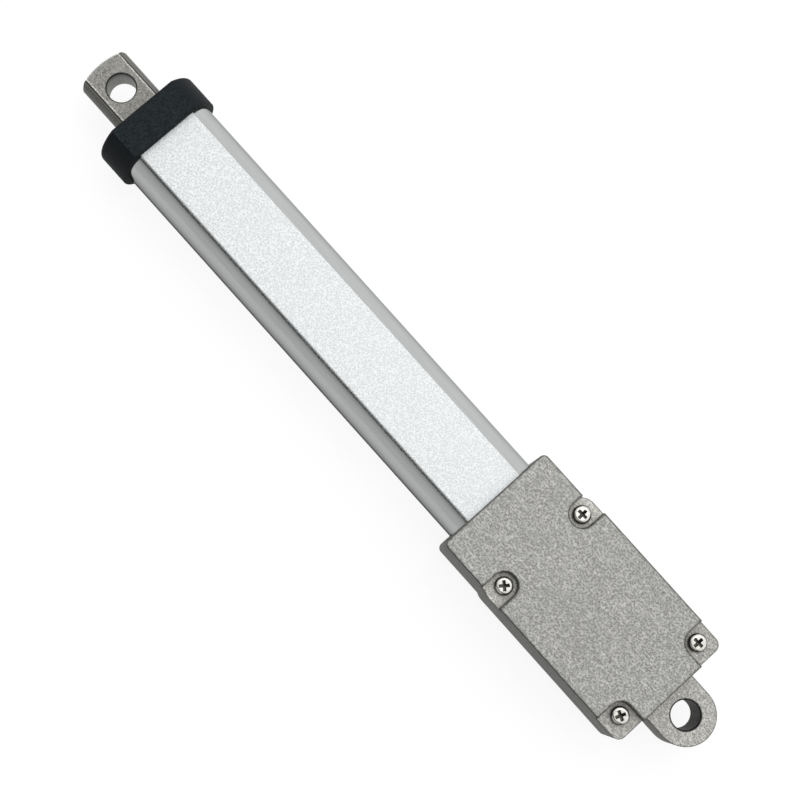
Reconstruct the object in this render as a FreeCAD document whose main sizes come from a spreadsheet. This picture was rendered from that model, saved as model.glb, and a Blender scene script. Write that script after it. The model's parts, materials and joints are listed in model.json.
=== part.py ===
"""Electric linear actuator: die-cast gear case, drawn aluminium tube, push rod with an eye.

The origin is the centre of the rear eye. +X runs along the screw towards the rod's eye, which is
also the way the rod extends, and +Z comes out of the cover that the four screws hold.
"""
import FreeCAD
import Part
import Sketcher

import math
import os
import re

doc = FreeCAD.newDocument("linear_actuator")
sheet = doc.addObject("Spreadsheet::Sheet", "sizes")
reckoner = doc.addObject("Spreadsheet::Sheet", "reckoner")

# Driving sizes in millimetres: alias, number, meaning
driving = [
    ("stroke", "80.0", "travel of the push rod"),
    ("eye_bore", "6.0", "bore of both mounting eyes"),
    ("eye_chamfer", "0.3", "bevel round both bores"),
    ("ear_reach", "5.4", "rear eye to the case's rear face"),
    ("ear_width", "12.5", "rear eye across the ear"),
    ("ear_thickness", "9.4", "rear ear along its bore"),
    ("case_wall", "1.8", "rear wall of the gear case"),
    ("case_floor", "1.0", "least metal over and under the motor channel"),
    ("case_lip", "1.35", "metal over and under the tube's socket"),
    ("case_side", "3.05", "metal beside the tube's socket"),
    ("bay_wall", "1.6", "outer wall of the hollow bays"),
    ("bay_rib", "1.2", "rib between a bay and the motor channel"),
    ("left_step", "0.4", "how far the left wall widens behind the front screw"),
    ("right_step", "0.9", "how far the right wall widens behind the front screw"),
    ("front_corner", "1.2", "round of the case's front corners"),
    ("rear_corner", "1.8", "round of the case's rear corners"),
    ("cover_edge", "0.35", "round of the cover's top edge"),
    ("back_edge", "1.0", "round of the case's back edge"),
    ("screw_thread", "2.0", "cover screws"),
    ("screw_play", "0.1", "screw in the cover's hole, each side"),
    ("screw_head", "3.8", "pan head across"),
    ("screw_head_height", "1.4", "pan head height"),
    ("screw_grip", "7.0", "thread below the parting plane"),
    ("left_boss", "3.85", "round boss about the left screws"),
    ("right_boss", "3.45", "round boss about the right screws"),
    ("front_screw_back", "6.1", "front screws behind the tube's seat"),
    ("rear_screw_in", "3.8", "rear screws in from the rear face"),
    ("pocket_radius", "2.75", "round end of the screw pockets"),
    ("pocket_depth", "2.0", "screw pockets below the cover face"),
    ("tube_height", "15.0", "outer tube over its flats"),
    ("tube_flat", "14.0", "flat on the front and back of the tube"),
    ("tube_flank", "5.5", "radius of the tube's flanks"),
    ("tube_wall", "1.4", "wall of the outer tube"),
    ("tube_seat", "8.0", "length of tube held in the case"),
    ("cap_grip", "4.5", "length of tube held in the end cap"),
    ("cap_end", "3.1", "end wall of the cap"),
    ("cap_side", "1.65", "cap beside the tube's flanks"),
    ("cap_round", "7.8", "corner radius of the cap"),
    ("cap_rim", "0.6", "bevel of the cap's end rim"),
    ("bush_length", "8.5", "guide bush in the tube's front end"),
    ("wiper_depth", "1.8", "wiper seal along the rod"),
    ("wiper_wall", "1.6", "wiper seal round the rod"),
    ("wiper_play", "0.05", "wiper lip to the rod"),
    ("rod_width", "11.8", "push rod across its round sides"),
    ("rod_thickness", "7.0", "push rod over its flats"),
    ("rod_neck", "9.6", "push rod's end across, in the nut"),
    ("rod_room", "0.3", "rod and nut block to the switches"),
    ("rod_play", "0.08", "rod in the guide bush, each side"),
    ("rod_mouth", "0.3", "rod in the cap's mouth, each side"),
    ("rod_bore", "5.6", "bore of the rod round the lead screw"),
    ("rod_eye_reach", "6.9", "rod's eye beyond the cap when the rod is in"),
    ("rod_tip", "6.7", "rod's eye to its tip"),
    ("rod_tip_radius", "15.0", "radius of the rod's tip"),
    ("rod_bevel", "0.3", "bevel along the rod's flats"),
    ("lead_width", "5.0", "lead screw over its thread"),
    ("lead_spare", "2.0", "screw past the nut at full stroke, and bore past the screw"),
    ("lead_stub", "4.0", "screw end held in the carrier's hub"),
    ("lead_bevel", "0.5", "bevel on the screw's free end"),
    ("nut_length", "8.0", "drive nut along the screw"),
    ("nut_socket", "4.0", "rod seated in the nut"),
    ("nut_play", "0.04", "nut on the screw, each side"),
    ("nut_slide", "0.2", "nut block to the tube's flats"),
    ("nut_side_slide", "0.4", "nut block to the tube's side"),
    ("nut_bevel_in", "2.3", "bevel of the nut block across the tube"),
    ("nut_bevel_up", "2.6", "bevel of the nut block towards the flats"),
    ("nut_pin", "1.2", "pins that hold the rod in the nut"),
    ("nut_pin_short", "0.2", "pins short of the rod's bore"),
    ("wing_length", "4.0", "wing of the nut that works the switches"),
    ("wing_width", "2.8", "wing across"),
    ("wing_gap", "0.3", "wing to the switch board"),
    ("board_gap", "0.1", "bed of glue between board and tube"),
    ("board_thickness", "0.8", "switch board"),
    ("board_width", "5.8", "switch board across"),
    ("board_setback", "0.4", "board in from the tube's rear end"),
    ("board_margin", "0.6", "bare board beside each component"),
    ("switch_length", "2.8", "limit switch along the tube"),
    ("switch_height", "2.0", "limit switch above the board"),
    ("switch_width", "3.6", "limit switch across"),
    ("button_width", "1.2", "limit switch button"),
    ("button_stand", "0.7", "button proud of its switch"),
    ("button_depth", "0.8", "button stem inside its switch"),
    ("button_travel", "0.3", "how far a button presses in"),
    ("button_play", "0.06", "button in its hole, each side"),
    ("button_gap", "0.3", "wing to the button at the end of the stroke"),
    ("diode_length", "2.8", "blocking diode along the board"),
    ("diode_width", "1.6", "blocking diode across"),
    ("diode_height", "1.1", "blocking diode above the board"),
    ("bush_room", "2.4", "board to the guide bush"),
    ("terminal_room", "1.2", "rear wall to the motor"),
    ("terminal_reach", "1.0", "motor terminals behind the end bell"),
    ("terminal_width", "2.0", "motor terminal across"),
    ("terminal_sheet", "0.5", "motor terminal thickness"),
    ("terminal_spread", "4.5", "motor terminals out from the axis"),
    ("motor_width", "15.4", "motor can"),
    ("motor_length", "22.6", "motor along its shaft"),
    ("motor_play", "0.15", "motor in its channel, each side"),
    ("can_wall", "0.8", "motor can wall"),
    ("bell_flange", "1.6", "motor end bell behind the can"),
    ("bell_spigot", "2.0", "motor end bell inside the can"),
    ("bell_wall", "1.5", "wall of the bell's spigot"),
    ("bell_web", "1.8", "end bell web that holds the rear bush"),
    ("shaft_width", "1.5", "motor shaft"),
    ("shaft_play", "0.04", "motor shaft in its bushes, each side"),
    ("front_bush_width", "4.0", "front bush outside"),
    ("rear_bush_width", "3.5", "rear bush outside"),
    ("bush_lip", "0.8", "front bush inside the can's face"),
    ("magnet_thickness", "1.15", "field magnets"),
    ("magnet_length", "14.0", "field magnets along the shaft"),
    ("magnet_angle", "116.0", "degrees that each magnet spans"),
    ("air_gap", "0.4", "armature to the magnets"),
    ("core_length", "12.0", "armature core along the shaft"),
    ("core_back", "2.6", "armature core behind the can's face"),
    ("winding_width", "3.2", "copper in each armature slot"),
    ("winding_end", "1.2", "end turns beyond the core"),
    ("end_turns", "2.4", "end turns out from the shaft"),
    ("slot_mouth", "1.0", "opening of an armature slot"),
    ("commutator_width", "4.0", "commutator"),
    ("commutator_length", "1.6", "commutator along the shaft"),
    ("brush_gap", "0.1", "brush to the commutator"),
    ("brush_width", "1.1", "brush along and across"),
    ("plate_thickness", "1.0", "plate between the motor and the gears"),
    ("plate_hole", "4.8", "hole in that plate"),
    ("gear_module", "0.3", "tooth module of both stages"),
    ("sun_teeth", "12", "teeth of each sun gear"),
    ("planet_teeth", "15", "teeth of each planet gear"),
    ("gear_width", "2.8", "gears along their axis"),
    ("tooth_height", "0.9", "addendum in modules"),
    ("tooth_depth", "1.25", "dedendum in modules"),
    ("tooth_slack", "0.08", "backlash along the pitch circle"),
    ("ring_wall", "0.92", "metal round the ring gear's teeth"),
    ("rear_gap", "0.3", "running gap behind each stage's planets"),
    ("front_gap", "0.2", "running gap before each stage's carrier"),
    ("carrier_thickness", "1.2", "first carrier plate"),
    ("output_thickness", "1.6", "second carrier plate"),
    ("carrier_gap", "0.3", "carrier plates inside the ring's teeth"),
    ("hub_width", "7.0", "hub of the second carrier"),
    ("hub_length", "2.1", "hub from the carrier to the bearing"),
    ("pin_width", "1.2", "planet pins"),
    ("pin_play", "0.05", "planet on its pin, each side"),
    ("bearing_width", "13.0", "bearing outside"),
    ("bearing_length", "4.0", "bearing along the screw"),
    ("bearing_shoulder", "1.5", "case shoulder against the bearing"),
    ("ball_width", "2.0", "bearing balls"),
    ("ball_count", "7", "bearing balls in the ring"),
    ("ball_play", "0.03", "ball to its groove"),
    ("race_gap", "0.3", "depth of the balls' grooves"),
    ("groove_flat", "0.7", "flat floor of the balls' grooves"),
    ("cage_wall", "0.8", "ball cage"),
    ("cage_length", "2.9", "ball cage along the screw"),
    ("clip_thickness", "0.8", "retaining ring"),
    ("clip_gap", "0.1", "retaining ring to the bearing"),
    ("clip_wall", "1.5", "retaining ring round the screw"),
    ("seat_wall", "1.7", "case wall between the bearing and the tube"),
    ("clip_room", "0.5", "retaining ring in that wall's hole"),
    ("bay_inset", "2.8", "bays in from the rear screws"),
    ("bay_front", "5.1", "bays behind the front screws"),
    ("inlet_width", "4.4", "hole for the wire grommet"),
    ("inlet_along", "13.0", "wire grommet along the bay"),
    ("inlet_drop", "2.4", "wire grommet below the screw's axis"),
    ("grommet_lip", "1.0", "grommet flange round its hole"),
    ("grommet_lip_height", "0.8", "grommet flange on the wall"),
    ("wire_hole", "2.6", "hole through the grommet"),
    ("parting", "4.7", "parting plane of case and cover above the axis"),
]

# Sizes that follow from them
derived = [
    ("rear_face", "=ear_reach"),
    ("cavity_side", "=rod_width / 2 + rod_room + switch_height + board_thickness + board_gap"),
    ("tube_width", "=2 * (cavity_side + tube_wall)"),
    ("motor_rear", "=rear_face + case_wall + terminal_room"),
    ("motor_front", "=motor_rear + motor_length"),
    ("ring_rear", "=motor_front + plate_thickness"),
    ("planets_one", "=ring_rear + rear_gap"),
    ("carrier_one", "=planets_one + gear_width + front_gap"),
    ("planets_two", "=carrier_one + carrier_thickness + rear_gap"),
    ("carrier_two", "=planets_two + gear_width + front_gap"),
    ("hub_rear", "=carrier_two + output_thickness"),
    ("ring_front", "=hub_rear + front_gap"),
    ("bearing_rear", "=hub_rear + hub_length"),
    ("bearing_front", "=bearing_rear + bearing_length"),
    ("seat_floor", "=bearing_front + seat_wall"),
    ("front_face", "=seat_floor + tube_seat"),
    ("board_rear", "=seat_floor + board_setback"),
    ("rear_switch", "=board_rear + board_margin"),
    ("rear_button_tip", "=rear_switch + switch_length + button_stand"),
    ("nut_rear", "=rear_button_tip + button_gap"),
    ("nut_front", "=nut_rear + nut_length"),
    ("rod_rear", "=nut_front - nut_socket"),
    ("front_button_tip", "=nut_rear + wing_length + stroke + button_gap"),
    ("front_switch", "=front_button_tip + button_stand"),
    ("first_diode", "=front_switch + switch_length + board_margin"),
    ("second_diode", "=first_diode + diode_length + board_margin"),
    ("board_front", "=second_diode + diode_length + board_margin"),
    ("bush_rear", "=board_front + bush_room"),
    ("tube_front", "=bush_rear + bush_length"),
    ("cap_rear", "=tube_front - cap_grip"),
    ("cap_front", "=tube_front + cap_end"),
    ("rod_eye", "=cap_front + rod_eye_reach"),
    ("lead_front", "=nut_front + stroke + lead_spare"),
    ("ring_teeth", "=sun_teeth + 2 * planet_teeth"),
    ("planet_circle", "=gear_module * (sun_teeth + planet_teeth) / 2"),
    ("ring_tip", "=gear_module * (ring_teeth / 2 - tooth_height)"),
    ("ring_root", "=gear_module * (ring_teeth / 2 + tooth_depth)"),
    ("gearbox_radius", "=ring_root + ring_wall"),
    ("carrier_radius", "=ring_tip - carrier_gap"),
    ("channel", "=max(motor_width / 2; gearbox_radius) + motor_play"),
    ("half_height", "=max(tube_height / 2 + case_lip; channel + case_floor)"),
    ("front_side", "=max(tube_width / 2; channel) + case_side"),
    ("left_side", "=front_side + left_step"),
    ("right_side", "=front_side + right_step"),
    ("left_screw", "=left_side - left_boss"),
    ("right_screw", "=right_side - right_boss"),
    ("left_break", "=sqrt(left_boss ^ 2 - (left_boss - left_step) ^ 2)"),
    ("right_break", "=sqrt(right_boss ^ 2 - (right_boss - right_step) ^ 2)"),
    ("front_screw", "=seat_floor - front_screw_back"),
    ("rear_screw", "=rear_face + rear_screw_in"),
    ("pocket_floor", "=half_height - pocket_depth"),
    ("bay_rear", "=rear_screw + bay_inset"),
    ("bay_end", "=front_screw - bay_front"),
    ("bay_depth", "=half_height - bay_wall"),
    ("inlet", "=bay_rear + inlet_along"),
    ("cap_half_width", "=tube_width / 2 + cap_side"),
    ("flank_centre", "=tube_width / 2 - tube_flank"),
    ("flank_rise", "=tube_height / 2 - sqrt(tube_flank ^ 2 - (tube_flat / 2 - flank_centre) ^ 2)"),
    ("cavity_flank", "=tube_flank - tube_wall"),
    ("cavity_height", "=tube_height / 2 - tube_wall"),
    ("cavity_flat", "=flank_centre + sqrt(cavity_flank ^ 2 - (cavity_height - flank_rise) ^ 2)"),
    ("nut_half_height", "=cavity_height - nut_slide"),
    ("nut_side", "=cavity_side - nut_side_slide"),
    ("board_face", "=cavity_side - board_gap - board_thickness"),
    ("switch_face", "=board_face - switch_height"),
    ("nut_left", "=switch_face - rod_room"),
    ("nut_pin_end", "=rod_bore / 2 + nut_pin_short"),
    ("nut_pin_along", "=rod_rear + nut_socket / 2"),
    ("can_inside", "=motor_width / 2 - can_wall"),
    ("bell_inside", "=can_inside - bell_wall"),
    ("core_radius", "=can_inside - magnet_thickness - air_gap"),
    ("core_front", "=motor_front - core_back - winding_end"),
    ("core_rear", "=core_front - core_length"),
    ("winding_circle", "=core_radius - winding_width / 2 - slot_mouth / 2"),
    ("ball_path", "=(lead_width + bearing_width) / 4"),
    ("race_inner", "=ball_path - ball_width / 2 + race_gap"),
    ("race_outer", "=ball_path + ball_width / 2 - race_gap"),
    ("groove_mouth", "=sqrt((ball_width / 2 + ball_play) ^ 2 - (ball_width / 2 - race_gap) ^ 2)"),
    ("clip_radius", "=lead_width / 2 + clip_wall"),
    ("shoulder_radius", "=max(bearing_width / 2 - bearing_shoulder; parting + cover_edge)"),
    ("clip_hole", "=max(clip_radius + clip_room; parting + cover_edge)"),
]

for row, (alias, number, meaning) in enumerate(driving, 1):
    sheet.set("A%d" % row, meaning)
    sheet.set("B%d" % row, number)
    sheet.setAlias("B%d" % row, alias)
for row, (alias, formula) in enumerate(derived, 1):
    sheet.set("D%d" % row, formula)
    sheet.setAlias("D%d" % row, alias)
doc.recompute()

aliases = {entry[0] for entry in driving + derived}
nodes = []


def tied(formula):
    """The same formula with each alias written as a cell of the sheet."""
    def cell(match):
        word = match.group(0)
        return "sizes." + word if word in aliases else word
    return re.sub(r"[a-z_]+", cell, formula)


def worked_out(formula):
    """The number that a formula of the sheet comes to."""
    reckoner.set("A1", "=" + tied(formula))
    reckoner.recompute()
    return float(reckoner.get("A1"))


def node(item, label):
    """Keep an object of the document as one piece of the actuator."""
    item.Label = label
    nodes.append(item)
    return item


def place(item, x="0", y="0", z="0", turn=None):
    """Tie an object's place to the sheet, after a turn that it was given as a rotation."""
    if turn:
        item.Placement.Rotation = turn
    for axis, formula in (("x", x), ("y", y), ("z", z)):
        item.setExpression("Placement.Base." + axis, tied(formula))
    return item


# The turns that lay a cylinder or ring, made along +Z, along the screw or across the case
ALONG = FreeCAD.Rotation(FreeCAD.Vector(0, 1, 0), 90)
ACROSS = FreeCAD.Rotation(FreeCAD.Vector(1, 0, 0), 90)
UPRIGHT = FreeCAD.Rotation()


def block(name, x, y, z):
    """A box between pairs of formulas along each axis."""
    box = doc.addObject("Part::Box", name)
    for side, (low, high) in (("Length", x), ("Width", y), ("Height", z)):
        box.setExpression(side, tied("(%s) - (%s)" % (high, low)))
    return place(box, x[0], y[0], z[0])


def cylinder(name, radius, length, x="0", y="0", z="0", turn=ALONG):
    """A round bar that starts at a point and runs along the screw unless it is turned."""
    bar = doc.addObject("Part::Cylinder", name)
    bar.setExpression("Radius", tied(radius))
    bar.setExpression("Height", tied(length))
    return place(bar, x, y, z, turn)


def gathered(name, pieces):
    """Several solids in one object, side by side."""
    group = doc.addObject("Part::Compound", name)
    group.Links = pieces
    return group


def cut(name, base, *tools):
    """A solid less one or more others."""
    result = doc.addObject("Part::Cut", name)
    result.Base = base
    result.Tool = tools[0] if len(tools) == 1 else gathered(name + "_tools", list(tools))
    return result


def fused(name, *pieces):
    """Several solids that are one casting or stamping."""
    result = doc.addObject("Part::MultiFuse", name)
    result.Shapes = list(pieces)
    result.Refine = True
    return result


def around(name, item, count):
    """The places of an object about the screw's axis, copied evenly from its first."""
    copies = []
    for k in range(count):
        link = doc.addObject("App::Link", "%s_%d" % (name, k))
        link.LinkedObject = item
        link.LinkTransform = True
        link.Placement = FreeCAD.Placement(
            FreeCAD.Vector(), FreeCAD.Rotation(FreeCAD.Vector(1, 0, 0), 360.0 * k / count))
        copies.append(link)
    return copies


# Sketches: each point and radius is held by a formula of the sheet
def sketch_on(body, plane, offset="0"):
    """A sketch on one of its body's own planes, moved along the plane's normal."""
    drawn = body.newObject("Sketcher::SketchObject", body.Name + "_sketch")
    support = [f for f in body.Origin.OriginFeatures if f.Role == plane][0]
    drawn.AttachmentSupport = [(support, "")]
    drawn.MapMode = "FlatFace"
    drawn.setExpression("AttachmentOffset.Base.z", tied(offset))
    return drawn


def hold(drawn, kind, geometry, formula):
    """Tie one dimension of a sketch to a formula."""
    index = drawn.addConstraint(Sketcher.Constraint(kind, *geometry, worked_out(formula)))
    drawn.setExpression("Constraints[%d]" % index, tied(formula))


def hold_point(drawn, geometry, end, x, y):
    """Tie both coordinates of a point of a sketch."""
    hold(drawn, "DistanceX", (-1, 1, geometry, end), x)
    hold(drawn, "DistanceY", (-1, 1, geometry, end), y)


def join(drawn, pairs):
    """Make ends of a sketch's lines and arcs meet."""
    drawn.addConstraint([Sketcher.Constraint("Coincident", *pair) for pair in pairs])


def corners(points):
    """A closed outline of straight lines through pairs of formulas."""
    def draw(drawn):
        first = drawn.GeometryCount
        count = len(points)
        at = [FreeCAD.Vector(worked_out(x), worked_out(y), 0) for x, y in points]
        drawn.addGeometry([Part.LineSegment(at[i], at[(i + 1) % count]) for i in range(count)], False)
        join(drawn, [(first + i, 2, first + (i + 1) % count, 1) for i in range(count)])
        for i, (x, y) in enumerate(points):
            hold_point(drawn, first + i, 1, x, y)
    return draw


def oblong(x, y):
    """A rectangle between two pairs of formulas."""
    return corners([(x[0], y[0]), (x[1], y[0]), (x[1], y[1]), (x[0], y[1])])


def ring(radius, x="0", y="0"):
    """A circle about a point."""
    def draw(drawn):
        centre = FreeCAD.Vector(worked_out(x), worked_out(y), 0)
        at = drawn.addGeometry(Part.Circle(centre, FreeCAD.Vector(0, 0, 1), worked_out(radius)), False)
        hold(drawn, "Radius", (at,), radius)
        hold_point(drawn, at, 3, x, y)
    return draw


def arc(centre, radius, start, end):
    """An arc of a sketch, anticlockwise between two angles in degrees."""
    circle = Part.Circle(FreeCAD.Vector(centre[0], centre[1], 0), FreeCAD.Vector(0, 0, 1), radius)
    return Part.ArcOfCircle(circle, math.radians(start), math.radians(end))


def double_d(width, thickness):
    """A round bar's section with a flat on its front and its back."""
    def draw(drawn):
        first = drawn.GeometryCount
        radius = worked_out(width) / 2
        flat = worked_out(thickness) / 2
        rise = math.degrees(math.asin(flat / radius))
        half = radius * math.cos(math.radians(rise))
        drawn.addGeometry([
            arc((0, 0), radius, -rise, rise),
            Part.LineSegment(FreeCAD.Vector(half, flat, 0), FreeCAD.Vector(-half, flat, 0)),
            arc((0, 0), radius, 180 - rise, 180 + rise),
            Part.LineSegment(FreeCAD.Vector(-half, -flat, 0), FreeCAD.Vector(half, -flat, 0)),
        ], False)
        join(drawn, [(first + i, 2, first + (i + 1) % 4, 1) for i in range(4)])
        for side in (first, first + 2):
            join(drawn, [(side, 3, -1, 1)])
            hold(drawn, "Radius", (side,), "(%s) / 2" % width)
        for side, sign in ((first + 1, ""), (first + 3, "-")):
            drawn.addConstraint(Sketcher.Constraint("Horizontal", side))
            hold(drawn, "DistanceY", (-1, 1, side, 1), "%s(%s) / 2" % (sign, thickness))
    return draw


def flanked(side, height, flat, radius, centre, rise):
    """The tube's section: flats in front and behind, and a side between two round flanks.

    The flanks meet the flats at a crisp edge and run smoothly into the sides.
    """
    def draw(drawn):
        first = drawn.GeometryCount
        w, h, f, r, c, z = [worked_out(v) for v in (side, height, flat, radius, centre, rise)]
        tilt = math.degrees(math.asin((h - z) / r))
        line = lambda a, b: Part.LineSegment(FreeCAD.Vector(*a, 0), FreeCAD.Vector(*b, 0))
        drawn.addGeometry([
            line((w, -z), (w, z)),
            arc((c, z), r, 0, tilt),
            line((f, h), (-f, h)),
            arc((-c, z), r, 180 - tilt, 180),
            line((-w, z), (-w, -z)),
            arc((-c, -z), r, 180, 180 + tilt),
            line((-f, -h), (f, -h)),
            arc((c, -z), r, 360 - tilt, 360),
        ], False)
        join(drawn, [(first + i, 2, first + i + 1, 1) for i in (1, 2, 5, 6)])
        for k, x, y in ((1, "", ""), (3, "-", ""), (5, "-", "-"), (7, "", "-")):
            hold(drawn, "Radius", (first + k,), radius)
            hold_point(drawn, first + k, 3, "%s(%s)" % (x, centre), "%s(%s)" % (y, rise))
        for k, sign in ((2, ""), (6, "-")):
            drawn.addConstraint(Sketcher.Constraint("Horizontal", first + k))
            hold(drawn, "DistanceY", (-1, 1, first + k, 1), "%s(%s)" % (sign, height))
        for k in (0, 4):
            drawn.addConstraint(Sketcher.Constraint("Tangent", first + k, 2, first + k + 1, 1))
            drawn.addConstraint(Sketcher.Constraint("Tangent", first + (k + 7) % 8, 2, first + k, 1))
    return draw


def trough(radius, top):
    """A channel's section: round below the axis, open upwards to a level."""
    def draw(drawn):
        first = drawn.GeometryCount
        r, t = worked_out(radius), worked_out(top)
        line = lambda a, b: Part.LineSegment(FreeCAD.Vector(*a, 0), FreeCAD.Vector(*b, 0))
        drawn.addGeometry([
            arc((0, 0), r, 180, 360),
            line((r, 0), (r, t)),
            line((r, t), (-r, t)),
            line((-r, t), (-r, 0)),
        ], False)
        join(drawn, [(first + i, 2, first + (i + 1) % 4, 1) for i in range(4)])
        join(drawn, [(first, 3, -1, 1)])
        hold(drawn, "Radius", (first,), radius)
        hold(drawn, "DistanceY", (-1, 1, first + 1, 2), top)
        drawn.addConstraint([
            Sketcher.Constraint("PointOnObject", first, 1, -1),
            Sketcher.Constraint("PointOnObject", first, 2, -1),
            Sketcher.Constraint("Vertical", first + 1),
            Sketcher.Constraint("Horizontal", first + 2),
            Sketcher.Constraint("Vertical", first + 3),
        ])
    return draw


ALONG_X, FROM_TOP, FROM_SIDE = "YZ_Plane", "XY_Plane", "XZ_Plane"


def body(label):
    """A new part-design body that is one piece of the actuator."""
    return node(doc.addObject("PartDesign::Body", label), label)


def pad(owner, plane, section, start, length):
    """Metal drawn along a plane's normal from one level, for a length."""
    drawn = sketch_on(owner, plane, start)
    section(drawn)
    feature = owner.newObject("PartDesign::Pad", owner.Name + "_pad")
    feature.Profile = drawn
    feature.setExpression("Length", tied(length))
    doc.recompute()
    return feature


def pocket(owner, plane, section, start, length):
    """A hollow cut along a plane's normal from one level, for a length."""
    before = owner.Shape.Volume
    drawn = sketch_on(owner, plane, start)
    section(drawn)
    feature = owner.newObject("PartDesign::Pocket", owner.Name + "_pocket")
    feature.Profile = drawn
    feature.Reversed = True
    feature.setExpression("Length", tied(length))
    doc.recompute()
    if not owner.Shape.Volume < before:
        raise ValueError("a pocket of %s cuts nothing" % owner.Label)
    return feature


def turned(label, profile):
    """A piece turned on a lathe: its half section, along the screw and out from it."""
    owner = body(label)
    drawn = sketch_on(owner, FROM_SIDE)
    corners(profile)(drawn)
    feature = owner.newObject("PartDesign::Revolution", owner.Name + "_turn")
    feature.Profile = drawn
    feature.ReferenceAxis = (drawn, ["H_Axis"])
    feature.Angle = 360
    doc.recompute()
    return owner


def rounded(owner, radius, chosen):
    """Round the edges of a body's last feature that a test picks."""
    base = owner.Tip
    names = ["Edge%d" % i for i, edge in enumerate(base.Shape.Edges, 1) if chosen(edge)]
    feature = owner.newObject("PartDesign::Fillet", owner.Name + "_round")
    feature.Base = (base, names)
    feature.setExpression("Radius", tied(radius))
    doc.recompute()
    return feature


def bevelled(owner, size, chosen):
    """Bevel the edges of a body's last feature that a test picks."""
    base = owner.Tip
    names = ["Edge%d" % i for i, edge in enumerate(base.Shape.Edges, 1) if chosen(edge)]
    feature = owner.newObject("PartDesign::Chamfer", owner.Name + "_bevel")
    feature.Base = (base, names)
    feature.setExpression("Size", tied(size))
    doc.recompute()
    return feature


def rim_of_eye(along):
    """A test for the two rims of an eye bored through at a place along the screw's axis."""
    at, radius = worked_out(along), worked_out("eye_bore / 2")

    def chosen(edge):
        if not isinstance(edge.Curve, Part.Circle) or abs(edge.Curve.Radius - radius) > 1e-6:
            return False
        centre = edge.Curve.Center
        return abs(centre.x - at) + abs(centre.y) < 1e-6 and abs(edge.Curve.Axis.z) > 0.5
    return chosen


def level(height):
    """A test for edges that lie in one level plane."""
    at = worked_out(height)
    return lambda edge: all(abs(v.Z - at) < 1e-6 for v in edge.Vertexes)


def upright_at(places):
    """A test for vertical edges that stand at given points of the plan."""
    at = [(worked_out(x), worked_out(y)) for x, y in places]

    def chosen(edge):
        ends = edge.Vertexes
        if len(ends) < 2 or abs(ends[0].Z - ends[1].Z) < 1e-6:
            return False
        return any(abs(v.X - x) + abs(v.Y - y) < 1e-6 for v in ends[:1] for x, y in at)
    return chosen


# Gear case and cover: the two halves of the zinc die casting share one outline
def case_outline(drawn):
    """The casting seen from the cover: walls that widen round the front screws' bosses."""
    first = drawn.GeometryCount
    points = [
        ("front_face", "-front_side"),
        ("front_face", "front_side"),
        ("front_screw + left_break", "front_side"),
        ("front_screw", "left_side"),
        ("rear_face", "left_side"),
        ("rear_face", "-right_side"),
        ("front_screw", "-right_side"),
        ("front_screw + right_break", "-front_side"),
    ]
    at = [FreeCAD.Vector(worked_out(x), worked_out(y), 0) for x, y in points]
    count = len(points)
    bosses = {2: ("left_screw", "left_boss"), 6: ("-right_screw", "right_boss")}
    for i, here in enumerate(at):
        there = at[(i + 1) % count]
        if i in bosses:
            centre = FreeCAD.Vector(worked_out("front_screw"), worked_out(bosses[i][0]), 0)
            middle = (here + there) / 2 - centre
            bulge = centre + middle.normalize() * worked_out(bosses[i][1])
            drawn.addGeometry(Part.Arc(here, bulge, there), False)
        else:
            drawn.addGeometry(Part.LineSegment(here, there), False)

    def end_at(line, corner):
        """Which end of a line or arc lies at a corner."""
        drawn_line = drawn.Geometry[first + line]
        near = (drawn_line.StartPoint - at[corner]).Length < (drawn_line.EndPoint - at[corner]).Length
        return 1 if near else 2

    for i in range(count):
        corner = (i + 1) % count
        join(drawn, [(first + i, end_at(i, corner), first + corner, end_at(corner, corner))])
        straight = i if corner in bosses else corner
        hold_point(drawn, first + straight, end_at(straight, corner), *points[corner])
    for i, (_, boss) in bosses.items():
        hold(drawn, "Radius", (first + i,), boss)


case_corners = {
    "rear_corner": [("rear_face", "left_side"), ("rear_face", "-right_side")],
    "front_corner": [("front_face", "front_side"), ("front_face", "-front_side")],
}
screw_places = [
    ("front_screw", "left_screw"), ("front_screw", "-right_screw"),
    ("rear_screw", "left_screw"), ("rear_screw", "-right_screw"),
]
bays = [
    oblong(("bay_rear", "bay_end"), ("channel + bay_rib", "left_side - bay_wall")),
    oblong(("bay_rear", "bay_end"), ("bay_wall - right_side", "-(channel + bay_rib)")),
]

# Lower half: it carries the ear, the motor channel, the bearing and the tube's socket
gear_case = body("gear_case")
pad(gear_case, FROM_TOP, case_outline, "-half_height", "half_height + parting")
for corner, places in case_corners.items():
    rounded(gear_case, corner, upright_at(places))
rounded(gear_case, "back_edge", level("-half_height"))
pad(gear_case, FROM_TOP, oblong(("0", "rear_face"), ("-ear_width / 2", "ear_width / 2")),
    "parting - ear_thickness", "ear_thickness")
pad(gear_case, FROM_TOP, ring("ear_width / 2"), "parting - ear_thickness", "ear_thickness")
pocket(gear_case, FROM_TOP, ring("eye_bore / 2"), "parting - ear_thickness", "ear_thickness")
bevelled(gear_case, "eye_chamfer", rim_of_eye("0"))
seats = [
    ("channel", "rear_face + case_wall", "ring_front"),
    ("shoulder_radius", "ring_front", "bearing_rear"),
    ("bearing_width / 2", "bearing_rear", "bearing_front"),
    ("clip_hole", "bearing_front", "seat_floor"),
]
for radius, start, end in seats:
    pocket(gear_case, ALONG_X, trough(radius, "parting + case_wall"), start, "(%s) - (%s)" % (end, start))
tube_outside = flanked("tube_width / 2", "tube_height / 2", "tube_flat / 2",
                       "tube_flank", "flank_centre", "flank_rise")
tube_inside = flanked("cavity_side", "cavity_height", "cavity_flat",
                      "cavity_flank", "flank_centre", "flank_rise")
pocket(gear_case, ALONG_X, tube_outside, "seat_floor", "tube_seat")
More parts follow.
